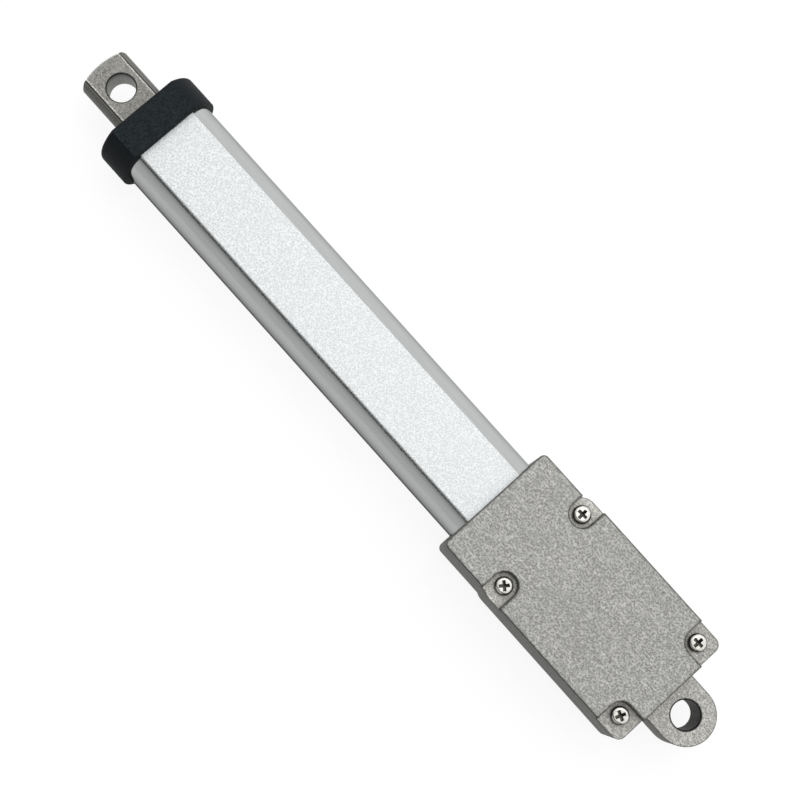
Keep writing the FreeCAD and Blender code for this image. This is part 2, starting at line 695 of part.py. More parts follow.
for bay in bays:
    pocket(gear_case, FROM_TOP, bay, "-bay_depth", "bay_depth + parting")
notch = oblong(("bay_rear", "bay_rear + wire_hole"), ("-(channel + bay_rib)", "0"))
pocket(gear_case, FROM_TOP, notch, "parting - wire_hole", "wire_hole")
for x, y in screw_places:
    pocket(gear_case, FROM_TOP, ring("screw_thread / 2", x, y), "parting - screw_grip", "screw_grip")
pocket(gear_case, FROM_SIDE, ring("inlet_width / 2", "inlet", "-inlet_drop"),
       "right_side - bay_wall", "bay_wall")

# Upper half: the cover, with a pocket at each screw that opens to the casting's edge
gear_cover = body("gear_cover")
pad(gear_cover, FROM_TOP, case_outline, "parting", "half_height - parting")
for corner, places in case_corners.items():
    rounded(gear_cover, corner, upright_at(places))
rounded(gear_cover, "cover_edge", level("half_height"))
for radius, start, end in seats:
    pocket(gear_cover, ALONG_X, ring(radius), start, "(%s) - (%s)" % (end, start))
pocket(gear_cover, ALONG_X, tube_outside, "seat_floor", "tube_seat")
for bay in bays:
    pocket(gear_cover, FROM_TOP, bay, "parting", "bay_depth - parting")
for x, y in screw_places:
    outward = "left_side" if y == "left_screw" else "-right_side"
    near, far = (y, outward) if y == "left_screw" else (outward, y)
    rear = "rear_face" if x == "rear_screw" else x + " - pocket_radius"
    pocket(gear_cover, FROM_TOP, ring("pocket_radius", x, y), "pocket_floor", "pocket_depth")
    pocket(gear_cover, FROM_TOP, oblong((rear, x + " + pocket_radius"), (near, far)),
           "pocket_floor", "pocket_depth")
    if x == "rear_screw":
        inner = y + (" - pocket_radius" if y == "left_screw" else " + pocket_radius")
        span = (inner, y) if y == "left_screw" else (y, inner)
        pocket(gear_cover, FROM_TOP, oblong((rear, x), span), "pocket_floor", "pocket_depth")
    pocket(gear_cover, FROM_TOP, ring("screw_thread / 2 + screw_play", x, y),
           "parting", "pocket_floor - parting")

screws = []
for k, (x, y) in enumerate(screw_places):
    shank = cylinder("screw_shank_%d" % k, "screw_thread / 2", "pocket_floor - parting + screw_grip",
                     x, y, "parting - screw_grip", UPRIGHT)
    head = cylinder("screw_head_%d" % k, "screw_head / 2", "screw_head_height", x, y, "pocket_floor", UPRIGHT)
    screws.append(fused("screw_%d" % k, shank, head))
node(gathered("cover_screws", screws), "cover_screws")

# Rubber grommet where the wires enter the right wall
lip = cylinder("grommet_flange", "inlet_width / 2 + grommet_lip", "grommet_lip_height",
               "inlet", "-right_side", "-inlet_drop", ACROSS)
neck = cylinder("grommet_neck", "inlet_width / 2", "bay_wall",
                "inlet", "bay_wall - right_side", "-inlet_drop", ACROSS)
wires = cylinder("grommet_hole", "wire_hole / 2", "bay_wall + grommet_lip_height",
                 "inlet", "bay_wall - right_side", "-inlet_drop", ACROSS)
node(cut("wire_grommet", fused("grommet_body", lip, neck), wires), "wire_grommet")

# Outer tube: an aluminium extrusion, seated in the case and held in the cap
outer_tube = body("outer_tube")
pad(outer_tube, ALONG_X, tube_outside, "seat_floor", "tube_front - seat_floor")
pocket(outer_tube, ALONG_X, tube_inside, "seat_floor", "tube_front - seat_floor")

# End cap: a moulding pushed over the tube, with the wiper seal in its end wall
end_cap = body("end_cap")
pad(end_cap, ALONG_X, oblong(("-cap_half_width", "cap_half_width"), ("-half_height", "half_height")),
    "cap_rear", "cap_front - cap_rear")
rounded(end_cap, "cap_round", lambda edge: abs(edge.BoundBox.XLength - edge.Length) < 1e-6)
cap_rim_at = worked_out("cap_front")
bevelled(end_cap, "cap_rim", lambda edge: all(abs(v.X - cap_rim_at) < 1e-6 for v in edge.Vertexes))
pocket(end_cap, ALONG_X, tube_outside, "cap_rear", "cap_grip")
pocket(end_cap, ALONG_X, double_d("rod_width + 2 * wiper_wall", "rod_thickness + 2 * wiper_wall"),
       "tube_front", "wiper_depth")
pocket(end_cap, ALONG_X, double_d("rod_width + 2 * rod_mouth", "rod_thickness + 2 * rod_mouth"),
       "tube_front + wiper_depth", "cap_end - wiper_depth")

wiper_seal = body("wiper_seal")
pad(wiper_seal, ALONG_X, double_d("rod_width + 2 * wiper_wall", "rod_thickness + 2 * wiper_wall"),
    "tube_front", "wiper_depth")
pocket(wiper_seal, ALONG_X, double_d("rod_width + 2 * wiper_play", "rod_thickness + 2 * wiper_play"),
       "tube_front", "wiper_depth")

# Guide bush: it fills the tube's front end and keeps the rod from turning
rod_bush = body("rod_bush")
pad(rod_bush, ALONG_X, tube_inside, "bush_rear", "bush_length")
pocket(rod_bush, ALONG_X, double_d("rod_width + 2 * rod_play", "rod_thickness + 2 * rod_play"),
       "bush_rear", "bush_length")

# Push rod: a round bar with two flats, bored for the lead screw, with a round tip and an eye
push_rod = body("push_rod")
pad(push_rod, ALONG_X, double_d("rod_neck", "rod_thickness"), "rod_rear", "rod_eye - rod_rear")
pad(push_rod, ALONG_X, double_d("rod_width", "rod_thickness"), "nut_front", "rod_eye + rod_tip - nut_front")
pocket(push_rod, ALONG_X, ring("rod_bore / 2"), "rod_rear", "lead_front + lead_spare - rod_rear")
pocket(push_rod, FROM_TOP, ring("eye_bore / 2", "rod_eye"), "-rod_thickness / 2", "rod_thickness")
pocket(push_rod, FROM_SIDE, ring("nut_pin / 2", "nut_pin_along"), "-rod_neck / 2", "rod_neck")
bevelled(push_rod, "eye_chamfer", rim_of_eye("rod_eye"))


def rod_tip_waste(drawn):
    """What is milled off past the tip: outside the tip's arc and past the rod's width."""
    first = drawn.GeometryCount
    half, far = worked_out("rod_width"), worked_out("rod_eye + rod_tip + rod_width")
    tip, radius = worked_out("rod_eye + rod_tip"), worked_out("rod_tip_radius")
    back = tip - radius + math.sqrt(radius ** 2 - half ** 2)
    low, high = FreeCAD.Vector(back, -half, 0), FreeCAD.Vector(back, half, 0)
    drawn.addGeometry([
        Part.Arc(low, FreeCAD.Vector(tip, 0, 0), high),
        Part.LineSegment(high, FreeCAD.Vector(far, half, 0)),
        Part.LineSegment(FreeCAD.Vector(far, half, 0), FreeCAD.Vector(far, -half, 0)),
        Part.LineSegment(FreeCAD.Vector(far, -half, 0), low),
    ], False)
    join(drawn, [(first, 2, first + 1, 1), (first + 1, 2, first + 2, 1),
                 (first + 2, 2, first + 3, 1), (first + 3, 2, first, 1)])
    hold(drawn, "Radius", (first,), "rod_tip_radius")
    hold_point(drawn, first, 3, "rod_eye + rod_tip - rod_tip_radius", "0")
    hold_point(drawn, first + 2, 1, "rod_eye + rod_tip + rod_width", "rod_width")
    hold_point(drawn, first + 2, 2, "rod_eye + rod_tip + rod_width", "-rod_width")
    for line in (first + 1, first + 3):
        drawn.addConstraint(Sketcher.Constraint("Horizontal", line))


pocket(push_rod, FROM_TOP, rod_tip_waste, "-rod_thickness", "2 * rod_thickness")
rod_face, rod_shoulder = worked_out("rod_thickness / 2"), worked_out("nut_front")


def edge_of_flat(edge):
    """A test for the outer edges of the rod's two flats, past the nut."""
    ends = edge.Vertexes
    return (len(ends) == 2 and all(abs(abs(v.Z) - rod_face) < 1e-6 for v in ends)
            and abs(ends[0].Z - ends[1].Z) < 1e-6 and max(v.X for v in ends) > rod_shoulder + 1e-6
            and min(v.X for v in ends) > rod_shoulder - 1e-6)


bevelled(push_rod, "rod_bevel", edge_of_flat)

# Drive nut: a brass block that slides in the tube, with a socket for the rod and a switch wing
drive_nut = body("drive_nut")
pad(drive_nut, ALONG_X, corners([
    ("-nut_side", "nut_bevel_up - nut_half_height"),
    ("nut_bevel_in - nut_side", "-nut_half_height"),
    ("nut_left", "-nut_half_height"),
    ("nut_left", "nut_half_height"),
    ("nut_bevel_in - nut_side", "nut_half_height"),
    ("-nut_side", "nut_half_height - nut_bevel_up"),
]), "nut_rear", "nut_length")
pad(drive_nut, ALONG_X, oblong(("0", "board_face - wing_gap"), ("-wing_width / 2", "wing_width / 2")),
    "nut_rear", "wing_length")
pocket(drive_nut, ALONG_X, double_d("rod_neck", "rod_thickness"), "rod_rear", "nut_socket")
pocket(drive_nut, ALONG_X, ring("lead_width / 2 + nut_play"), "nut_rear", "nut_length")
pocket(drive_nut, FROM_SIDE, ring("nut_pin / 2", "nut_pin_along"), "-nut_left", "nut_left + nut_side")
left_pin = cylinder("left_nut_pin", "nut_pin / 2", "nut_left - nut_pin_end",
                    "nut_pin_along", "nut_left", "0", ACROSS)
right_pin = cylinder("right_nut_pin", "nut_pin / 2", "nut_side - nut_pin_end",
                     "nut_pin_along", "-nut_pin_end", "0", ACROSS)
node(gathered("nut_pins", [left_pin, right_pin]), "nut_pins")

# Limit switches on a narrow board that is glued along the tube's left side
board = block("switch_board", ("board_rear", "board_front"),
              ("board_face", "board_face + board_thickness"), ("-board_width / 2", "board_width / 2"))
node(board, "switch_board")
button_line = "board_face - switch_height / 2"
for label, start, tip, way in (
        ("rear", "rear_switch", "rear_button_tip", 1), ("front", "front_switch", "front_button_tip", -1)):
    face = "%s + switch_length" % start if way > 0 else start
    case = block(label + "_switch_case", (start, start + " + switch_length"),
                 ("switch_face", "board_face"), ("-switch_width / 2", "switch_width / 2"))
    stem = tip + " - button_stand - button_depth" if way > 0 else tip
    hole = stem + " - button_travel - button_play" if way > 0 else face
    hollow = cylinder(label + "_button_hole", "button_width / 2 + button_play",
                      "button_depth + button_travel + button_play", hole, button_line)
    node(cut(label + "_limit_switch", case, hollow), label + "_limit_switch")
    button = cylinder(label + "_switch_button", "button_width / 2", "button_stand + button_depth",
                      stem, button_line)
    node(button, label + "_switch_button")
diodes = [block(name, (name, name + " + diode_length"), ("board_face - diode_height", "board_face"),
                ("-diode_width / 2", "diode_width / 2")) for name in ("first_diode", "second_diode")]
node(gathered("blocking_diodes", diodes), "blocking_diodes")

# Motor: steel can, moulded end bell, two field magnets and a three-pole armature
can_rear = "motor_rear + bell_flange"
turned("motor_can", [
    (can_rear, "can_inside"), (can_rear, "motor_width / 2"), ("motor_front", "motor_width / 2"),
    ("motor_front", "front_bush_width / 2"), ("motor_front - can_wall", "front_bush_width / 2"),
    ("motor_front - can_wall", "can_inside"),
])
turned("motor_end_bell", [
    ("motor_rear", "rear_bush_width / 2"), ("motor_rear", "motor_width / 2"),
    (can_rear, "motor_width / 2"), (can_rear, "can_inside"),
    (can_rear + " + bell_spigot", "can_inside"), (can_rear + " + bell_spigot", "bell_inside"),
    ("motor_rear + bell_web", "bell_inside"), ("motor_rear + bell_web", "rear_bush_width / 2"),
])
shaft_hole = "shaft_width / 2 + shaft_play"
turned("front_bush", [
    ("motor_front - can_wall - bush_lip", shaft_hole),
    ("motor_front - can_wall - bush_lip", "front_bush_width / 2"),
    ("motor_front", "front_bush_width / 2"), ("motor_front", shaft_hole),
])
turned("rear_bush", [
    ("motor_rear", shaft_hole), ("motor_rear", "rear_bush_width / 2"),
    ("motor_rear + bell_web", "rear_bush_width / 2"), ("motor_rear + bell_web", shaft_hole),
])
magnets = []
for k, facing in enumerate((90, 270)):
    middle = "core_rear + core_length / 2 - magnet_length / 2"
    outside = cylinder("magnet_outside_%d" % k, "can_inside", "magnet_length", middle)
    outside.setExpression("Angle", tied("magnet_angle"))
    inside = cylinder("magnet_inside_%d" % k, "can_inside - magnet_thickness", "magnet_length", middle)
    spin = FreeCAD.Rotation(FreeCAD.Vector(1, 0, 0), facing + 90 - worked_out("magnet_angle") / 2)
    outside.Placement.Rotation = spin * ALONG
    magnets.append(cut("magnet_%d" % k, outside, inside))
node(gathered("motor_magnets", magnets), "motor_magnets")
terminals = [block("terminal_%d" % k, ("motor_rear - terminal_reach", "motor_rear"),
                   ("%sterminal_spread - terminal_width / 2" % sign,
                    "%sterminal_spread + terminal_width / 2" % sign),
                   ("-terminal_sheet / 2", "terminal_sheet / 2")) for k, sign in enumerate(("", "-"))]
node(gathered("motor_terminals", terminals), "motor_terminals")
commutator_rear = "motor_rear + bell_web + brush_gap"
brush_low, brush_high = "commutator_width / 2 + brush_gap", "bell_inside - brush_gap"
brushes = []
for k, (low, high) in enumerate(((brush_low, brush_high), ("-(%s)" % brush_high, "-(%s)" % brush_low))):
    brushes.append(block("brush_%d" % k, (commutator_rear, commutator_rear + " + brush_width"),
                         (low, high), ("-brush_width / 2", "brush_width / 2")))
node(gathered("motor_brushes", brushes), "motor_brushes")

turned("motor_shaft", [
    ("motor_rear", "0"), ("motor_rear", "shaft_width / 2"),
    ("planets_one + gear_width", "shaft_width / 2"), ("planets_one + gear_width", "0"),
])
core = cylinder("core_bar", "core_radius", "core_length", "core_rear")
core_bore = cylinder("core_bore", "shaft_width / 2", "core_length", "core_rear")
slot = cylinder("core_slot", "winding_width / 2", "core_length", "core_rear", "winding_circle")
mouth = block("core_mouth", ("core_rear", "core_front"), ("winding_circle", "core_radius + slot_mouth"),
              ("-slot_mouth / 2", "slot_mouth / 2"))
slots = around("core_slots", fused("core_opening", slot, mouth), 3)
node(cut("armature_core", core, core_bore, *slots), "armature_core")
coil = cylinder("coil_bar", "winding_width / 2", "core_length + 2 * winding_end",
                "core_rear - winding_end", "winding_circle")
ends = []
for k, start in enumerate(("core_rear - winding_end", "core_front")):
    outer = cylinder("turns_outside_%d" % k, "winding_circle + end_turns / 2", "winding_end", start)
    inner = cylinder("turns_inside_%d" % k, "winding_circle - end_turns / 2", "winding_end", start)
    ends.append(cut("end_turns_%d" % k, outer, inner))
node(fused("armature_windings", *around("coil", coil, 3), *ends), "armature_windings")
turned("commutator", [
    (commutator_rear, "shaft_width / 2"), (commutator_rear, "commutator_width / 2"),
    (commutator_rear + " + commutator_length", "commutator_width / 2"),
    (commutator_rear + " + commutator_length", "shaft_width / 2"),
])

# Gears: involute teeth of two like planetary stages in one long ring gear
PRESSURE = math.radians(20)
ROOT_RELIEF = 0.8
FLANK_STEPS = 2


def toothed(teeth, inner, outer, widening):
    """The outline of a wheel with involute teeth, one tooth centred on +Y.

    A tooth's half angle at a radius is its half angle on the pitch circle, plus the involute of
    the pressure angle, less the involute of the angle there. Below the base circle the tooth
    narrows to the root. widening adds to the tooth's thickness on the pitch circle.
    """
    module = worked_out("gear_module")
    pitch = module * teeth / 2
    base = pitch * math.cos(PRESSURE)
    half_pitch = math.pi / (2 * teeth) + widening / (2 * pitch)

    def half_angle(radius):
        slope = math.acos(min(1.0, base / radius))
        angle = half_pitch + math.tan(PRESSURE) - PRESSURE - math.tan(slope) + slope
        if radius < base:
            angle *= ROOT_RELIEF + (1 - ROOT_RELIEF) * (radius - inner) / (base - inner)
        return angle

    start = max(inner, base)
    climb = [start + (outer - start) * k / FLANK_STEPS for k in range(FLANK_STEPS + 1)]
    radii = ([inner] if inner < base else []) + climb
    points = []
    for k in range(teeth):
        middle = 2 * math.pi * k / teeth
        flank = [(r, middle - half_angle(r)) for r in radii]
        flank += [(r, middle + half_angle(r)) for r in reversed(radii)]
        points += [FreeCAD.Vector(0, r * math.cos(a), r * math.sin(a)) for r, a in flank]
    return Part.Face(Part.makePolygon(points + points[:1]))


def wheel(label, teeth, bore, start, circle=0.0, angle=0.0):
    """An external gear of the sheet's module: bored, and set on the planets' circle at an angle."""
    module, slack = worked_out("gear_module"), worked_out("tooth_slack")
    inner = module * (teeth / 2 - worked_out("tooth_depth"))
    outer = module * (teeth / 2 + worked_out("tooth_height"))
    along = FreeCAD.Vector(worked_out("gear_width"), 0, 0)
    solid = toothed(teeth, inner, outer, -slack / 2).extrude(along)
    hole = Part.makeCylinder(bore, along.x, FreeCAD.Vector(), FreeCAD.Vector(1, 0, 0))
    gear = doc.addObject("Part::Feature", label)
    gear.Shape = solid.cut(hole)
    turn = FreeCAD.Rotation(FreeCAD.Vector(1, 0, 0), angle)
    middle = turn.multVec(FreeCAD.Vector(0, circle, 0))
    gear.Placement = FreeCAD.Placement(FreeCAD.Vector(worked_out(start), middle.y, middle.z), turn)
    return node(gear, label)


ring_gear = doc.addObject("Part::Feature", "ring_gear")
ring_length = worked_out("ring_front - ring_rear")
ring_blank = Part.makeCylinder(worked_out("gearbox_radius"), ring_length,
                               FreeCAD.Vector(), FreeCAD.Vector(1, 0, 0))
ring_space = toothed(int(worked_out("ring_teeth")), worked_out("ring_tip"), worked_out("ring_root"),
                     worked_out("tooth_slack / 2")).extrude(FreeCAD.Vector(ring_length, 0, 0))
ring_gear.Shape = ring_blank.cut(ring_space)
ring_gear.Placement = FreeCAD.Placement(FreeCAD.Vector(worked_out("ring_rear"), 0, 0), FreeCAD.Rotation())
node(ring_gear, "ring_gear")
turned("gearbox_plate", [
    ("motor_front", "plate_hole / 2"), ("motor_front", "gearbox_radius"),
    ("ring_rear", "gearbox_radius"), ("ring_rear", "plate_hole / 2"),
])

PLANETS = 3
sun_bore = worked_out("shaft_width / 2")
planet_bore = worked_out("pin_width / 2 + pin_play")
planet_circle = worked_out("planet_circle")
for stage, start in ((1, "planets_one"), (2, "planets_two")):
    wheel("sun_gear_%d" % stage, int(worked_out("sun_teeth")), sun_bore, start)
    for k, letter in enumerate("abc"):
        wheel("planet_%d%s" % (stage, letter), int(worked_out("planet_teeth")), planet_bore, start,
              planet_circle, 360.0 * k / PLANETS)


def carrier(stage, profile, start, plate):
    """A carrier plate with a pin for each planet pressed into it."""
    blank = turned("planet_carrier_%d" % stage, profile)
    nodes.remove(blank)
    blank.Label = "carrier_%d_blank" % stage
    pin = cylinder("carrier_%d_pin" % stage, "pin_width / 2", "gear_width + front_gap + " + plate,
                   start, "planet_circle")
    holes = around("carrier_%d_holes" % stage, pin, PLANETS)
    node(cut("planet_carrier_%d_cut" % stage, blank, *holes), "planet_carrier_%d" % stage)
    pegs = around("carrier_%d_pegs" % stage, pin, PLANETS)
    node(gathered("carrier_%d_pins" % stage, pegs), "carrier_%d_pins" % stage)


carrier(1, [
    ("carrier_one", "0"), ("carrier_one", "carrier_radius"),
    ("carrier_one + carrier_thickness", "carrier_radius"),
    ("carrier_one + carrier_thickness", "shaft_width / 2"),
    ("planets_two + gear_width", "shaft_width / 2"), ("planets_two + gear_width", "0"),
], "planets_one", "carrier_thickness")
carrier(2, [
    ("carrier_two", "lead_stub / 2"), ("carrier_two", "carrier_radius"),
    ("hub_rear", "carrier_radius"), ("hub_rear", "hub_width / 2"),
    ("bearing_rear", "hub_width / 2"), ("bearing_rear", "lead_stub / 2"),
], "planets_two", "output_thickness")

# Lead screw with its ball bearing and retaining ring
turned("lead_screw", [
    ("carrier_two", "0"), ("carrier_two", "lead_stub / 2"), ("bearing_rear", "lead_stub / 2"),
    ("bearing_rear", "lead_width / 2"), ("lead_front - lead_bevel", "lead_width / 2"),
    ("lead_front", "lead_width / 2 - lead_bevel"), ("lead_front", "0"),
])
bearing_middle = "bearing_rear + bearing_length / 2"


def race(label, wall, land, floor):
    """A bearing ring from its wall to its land, with a groove in the land that the balls run in."""
    turned(label, [
        ("bearing_rear", wall), ("bearing_front", wall), ("bearing_front", land),
        (bearing_middle + " + groove_mouth", land), (bearing_middle + " + groove_flat / 2", floor),
        (bearing_middle + " - groove_flat / 2", floor), (bearing_middle + " - groove_mouth", land),
        ("bearing_rear", land),
    ])


race("bearing_inner_ring", "lead_width / 2", "race_inner", "ball_path - ball_width / 2 - ball_play")
race("bearing_outer_ring", "bearing_width / 2", "race_outer", "ball_path + ball_width / 2 + ball_play")

BALL_SIDES = 12


def many_sided_ball(radius):
    """A ball of flat sides between circles of latitude, light enough to repeat."""
    def at(row, column):
        polar, turn = math.pi * row / (BALL_SIDES / 2), 2 * math.pi * column / BALL_SIDES
        out = radius * math.sin(polar)
        return FreeCAD.Vector(radius * math.cos(polar), out * math.cos(turn), out * math.sin(turn))

    faces = []
    for row in range(BALL_SIDES // 2):
        for column in range(BALL_SIDES):
            ring_of = [at(row, column), at(row + 1, column), at(row + 1, column + 1), at(row, column + 1)]
            points = [p for i, p in enumerate(ring_of) if (p - ring_of[i - 1]).Length > 1e-6]
            faces.append(Part.Face(Part.makePolygon(points + points[:1])))
    return Part.Solid(Part.Shell(faces))


balls = int(worked_out("ball_count"))
ball = doc.addObject("Part::Feature", "ball")
ball.Shape = many_sided_ball(worked_out("ball_width / 2"))
ball.Placement.Base = FreeCAD.Vector(worked_out(bearing_middle), worked_out("ball_path"), 0)
node(gathered("bearing_balls", around("ball_at", ball, balls)), "bearing_balls")
cage_rear = bearing_middle + " - cage_length / 2"
cage_bar = cylinder("cage_bar", "ball_path + cage_wall / 2", "cage_length", cage_rear)
cage_hole = cylinder("cage_hole", "ball_path - cage_wall / 2", "cage_length", cage_rear)
window = "ball_width / 2 + ball_play"
cage_window = block("cage_window", (bearing_middle + " - (%s)" % window, bearing_middle + " + " + window),
                    ("ball_path - cage_wall", "ball_path + cage_wall"), ("-(%s)" % window, window))
node(cut("ball_cage", cut("cage_band", cage_bar, cage_hole), *around("cage_window_at", cage_window, balls)),
     "ball_cage")
turned("retaining_ring", [
    ("bearing_front + clip_gap", "lead_width / 2"), ("bearing_front + clip_gap", "clip_radius"),
    ("bearing_front + clip_gap + clip_thickness", "clip_radius"),
    ("bearing_front + clip_gap + clip_thickness", "lead_width / 2"),
])

doc.removeObject(reckoner.Name)
doc.recompute()
for item in doc.Objects:
    if "Invalid" in item.State or "Error" in item.State:
        raise ValueError("%s failed: %s" % (item.Label, item.State))
for item in nodes:
    if item.Shape.isNull() or not item.Shape.isValid() or not item.Shape.Solids:
        raise ValueError("%s has no sound shape" % item.Label)

os.makedirs("parts", exist_ok=True)
for item in nodes:
    item.Shape.exportStep(os.path.join("parts", item.Label + ".step"))
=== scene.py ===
"""Looks of a small electric linear actuator, from the motor's shaft out to the case that holds it all.

Sizes are in metres in the actuator's own frame: the origin is the centre of the rear eye, +X runs
along the screw to the rod's eye and +Z comes out of the screwed cover.
"""
import bmesh
import bpy
import json
import math
import numpy as np
from mathutils import Matrix, Vector


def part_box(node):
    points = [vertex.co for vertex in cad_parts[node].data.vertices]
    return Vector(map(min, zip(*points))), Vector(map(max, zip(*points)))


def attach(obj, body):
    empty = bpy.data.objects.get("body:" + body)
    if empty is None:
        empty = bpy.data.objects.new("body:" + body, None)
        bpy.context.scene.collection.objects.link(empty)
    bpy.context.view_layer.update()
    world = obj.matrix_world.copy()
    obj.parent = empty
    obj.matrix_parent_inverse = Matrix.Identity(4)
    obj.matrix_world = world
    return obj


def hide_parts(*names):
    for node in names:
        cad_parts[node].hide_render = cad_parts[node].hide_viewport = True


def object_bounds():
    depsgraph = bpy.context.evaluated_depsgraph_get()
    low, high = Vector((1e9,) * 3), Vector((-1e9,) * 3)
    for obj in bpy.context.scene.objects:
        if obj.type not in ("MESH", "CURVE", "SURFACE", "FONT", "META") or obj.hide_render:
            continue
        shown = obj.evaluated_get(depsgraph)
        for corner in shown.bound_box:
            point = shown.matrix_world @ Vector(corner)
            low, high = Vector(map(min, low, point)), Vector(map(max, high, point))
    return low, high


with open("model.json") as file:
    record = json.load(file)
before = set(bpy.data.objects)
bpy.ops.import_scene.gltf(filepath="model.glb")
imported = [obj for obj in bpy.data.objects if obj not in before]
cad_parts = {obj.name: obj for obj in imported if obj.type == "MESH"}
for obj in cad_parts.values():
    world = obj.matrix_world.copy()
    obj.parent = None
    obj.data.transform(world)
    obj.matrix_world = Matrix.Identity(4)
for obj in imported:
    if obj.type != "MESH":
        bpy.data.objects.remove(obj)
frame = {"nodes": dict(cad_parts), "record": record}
cad_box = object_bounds()

# Motor shaft and armature stack: a ground steel shaft pressed through a stack of punched laminations.
# The stack's grain runs in thin rings along the shaft, one ring to each sheet.
MM = 0.001
SOFT_EDGE_SAMPLES = 4


def shade(tree, kind, inputs=None, **settings):
    """Add one shader node: settings are its options, inputs its sockets, by value or by link."""
    made = tree.nodes.new("ShaderNode" + kind)
    for option, value in settings.items():
        setattr(made, option, value)
    for socket, value in (inputs or {}).items():
        if isinstance(value, bpy.types.NodeSocket):
            tree.links.new(value, made.inputs[socket])
        else:
            made.inputs[socket].default_value = value
    return made


def where(tree):
    """The point that is being shaded, on Object coordinates."""
    return shade(tree, "TexCoord").outputs["Object"]


def ramp(tree, factor, *stops):
    """Blend shades while a number climbs: each stop is a number and the shade that it gives."""
    made = shade(tree, "ValToRGB", {"Fac": factor})
    band = made.color_ramp.elements
    while len(band) < len(stops):
        band.new(0.5)
    for stop, (place, tone) in zip(band, stops):
        stop.position = place
        stop.color = (*tone, 1)
    return made.outputs["Color"]


def rise(tree, value, start, end, low=0.0, high=1.0):
    """A number that goes from low to high while a value goes from start to end, and stays there."""
    limits = {"Value": value, "From Min": start, "From Max": end, "To Min": low, "To Max": high}
    return shade(tree, "MapRange", limits).outputs["Result"]


def grain(tree, size, drawn=(1, 1, 1), detail=4.0, turn=(0, 0, 0)):
    """Noise with lumps of a size in metres, drawn out along the axes."""
    scale = [1 / (size * d) for d in drawn]
    laid = shade(tree, "Mapping", {"Vector": where(tree), "Rotation": turn, "Scale": scale})
    noise = {"Vector": laid.outputs["Vector"], "Scale": 1.0, "Detail": detail}
    return shade(tree, "TexNoise", noise).outputs["Fac"]


def finish(name, dark, light, size, metallic, gloss, relief, drawn=(1, 1, 1), soft_edge=0.0,
           span=(0.3, 0.7), shine=0.5, edge_shine=1.0, pattern=None):
    """A finish from one grain: while its number climbs over span, it blends two shades and moves the
    roughness between two numbers, and it lifts the surface by relief metres. soft_edge is the radius
    that edges are shaded round to, shine the strength of a plastic's gloss, and edge_shine how much
    a metal's gloss keeps at a glancing angle. A pattern takes the grain's place."""
    material = bpy.data.materials.new(name)
    material.use_nodes = True
    tree = material.node_tree
    shader = tree.nodes["Principled BSDF"]
    shader.inputs["Metallic"].default_value = metallic
    shader.inputs["Specular IOR Level"].default_value = shine
    shader.inputs["Specular Tint"].default_value = (edge_shine, edge_shine, edge_shine, 1)
    noise = pattern(tree, size) if pattern else grain(tree, size, drawn)
    tree.links.new(ramp(tree, noise, (span[0], dark), (span[1], light)), shader.inputs["Base Color"])
    tree.links.new(rise(tree, noise, *span, *gloss), shader.inputs["Roughness"])
    raised = shade(tree, "Bump", {"Height": noise, "Distance": relief})
    if soft_edge:
        bevel = shade(tree, "Bevel", {"Radius": soft_edge}, samples=SOFT_EDGE_SAMPLES)
        tree.links.new(bevel.outputs["Normal"], raised.inputs["Normal"])
    tree.links.new(raised.outputs["Normal"], shader.inputs["Normal"])
    return material


def coat(material, *names):
    """Give CAD nodes a finish in place of the plain colour that they come with."""
    for name in names:
        for place in frame["nodes"][name].material_slots:
            place.material = material


shaft_steel = finish("shaft_steel", dark=(0.42, 0.42, 0.41), light=(0.62, 0.62, 0.6), size=0.2 * MM,
                     metallic=1.0, gloss=(0.2, 0.38), relief=0.002 * MM, drawn=(0.3, 3, 3),
                     soft_edge=0.05 * MM)
coat(shaft_steel, "motor_shaft")
lamination_steel = finish("lamination_steel", dark=(0.2, 0.2, 0.21), light=(0.44, 0.44, 0.45),
                          size=0.35 * MM, metallic=1.0, gloss=(0.35, 0.6), relief=0.02 * MM,
                          drawn=(1, 30, 30), soft_edge=0.06 * MM)
coat(lamination_steel, "armature_core")

# Armature windings and commutator: enamelled copper wire in the stack's three slots, and the copper
# bars that the brushes rub on. The wire's grain runs along the slots.
enamelled_wire = finish("enamelled_wire", dark=(0.32, 0.1, 0.03), light=(0.72, 0.3, 0.12), size=0.22 * MM,
                        metallic=0.9, gloss=(0.18, 0.4), relief=0.04 * MM, drawn=(14, 1, 1),
                        soft_edge=0.2 * MM)
coat(enamelled_wire, "armature_windings")
rubbed_copper = finish("rubbed_copper", dark=(0.42, 0.2, 0.1), light=(0.8, 0.45, 0.28), size=0.2 * MM,
                       metallic=1.0, gloss=(0.22, 0.45), relief=0.004 * MM, drawn=(0.4, 4, 4),
                       soft_edge=0.05 * MM)
coat(rubbed_copper, "commutator")

# Motor can and gearbox plate: drawn sheet steel with a thin zinc plate, spangled in small patches.
# The can is pressed over its magnets, and the plate is spot-welded to its face.
plated_sheet = finish("plated_sheet", dark=(0.44, 0.45, 0.46), light=(0.7, 0.7, 0.69), size=0.9 * MM,
                      metallic=1.0, gloss=(0.28, 0.5), relief=0.003 * MM, soft_edge=0.15 * MM)
coat(plated_sheet, "motor_can", "gearbox_plate")

# Field magnets and brushes: sintered ferrite arcs glued in the can, and pressed carbon blocks.
# Both are dull, dark and grainy.
ferrite = finish("ferrite", dark=(0.035, 0.035, 0.04), light=(0.1, 0.1, 0.11), size=0.18 * MM,
                 metallic=0.2, gloss=(0.5, 0.75), relief=0.015 * MM)
coat(ferrite, "motor_magnets")
brush_carbon = finish("brush_carbon", dark=(0.02, 0.02, 0.022), light=(0.075, 0.075, 0.08), size=0.12 * MM,
                      metallic=0.1, gloss=(0.45, 0.7), relief=0.01 * MM)
coat(brush_carbon, "motor_brushes")

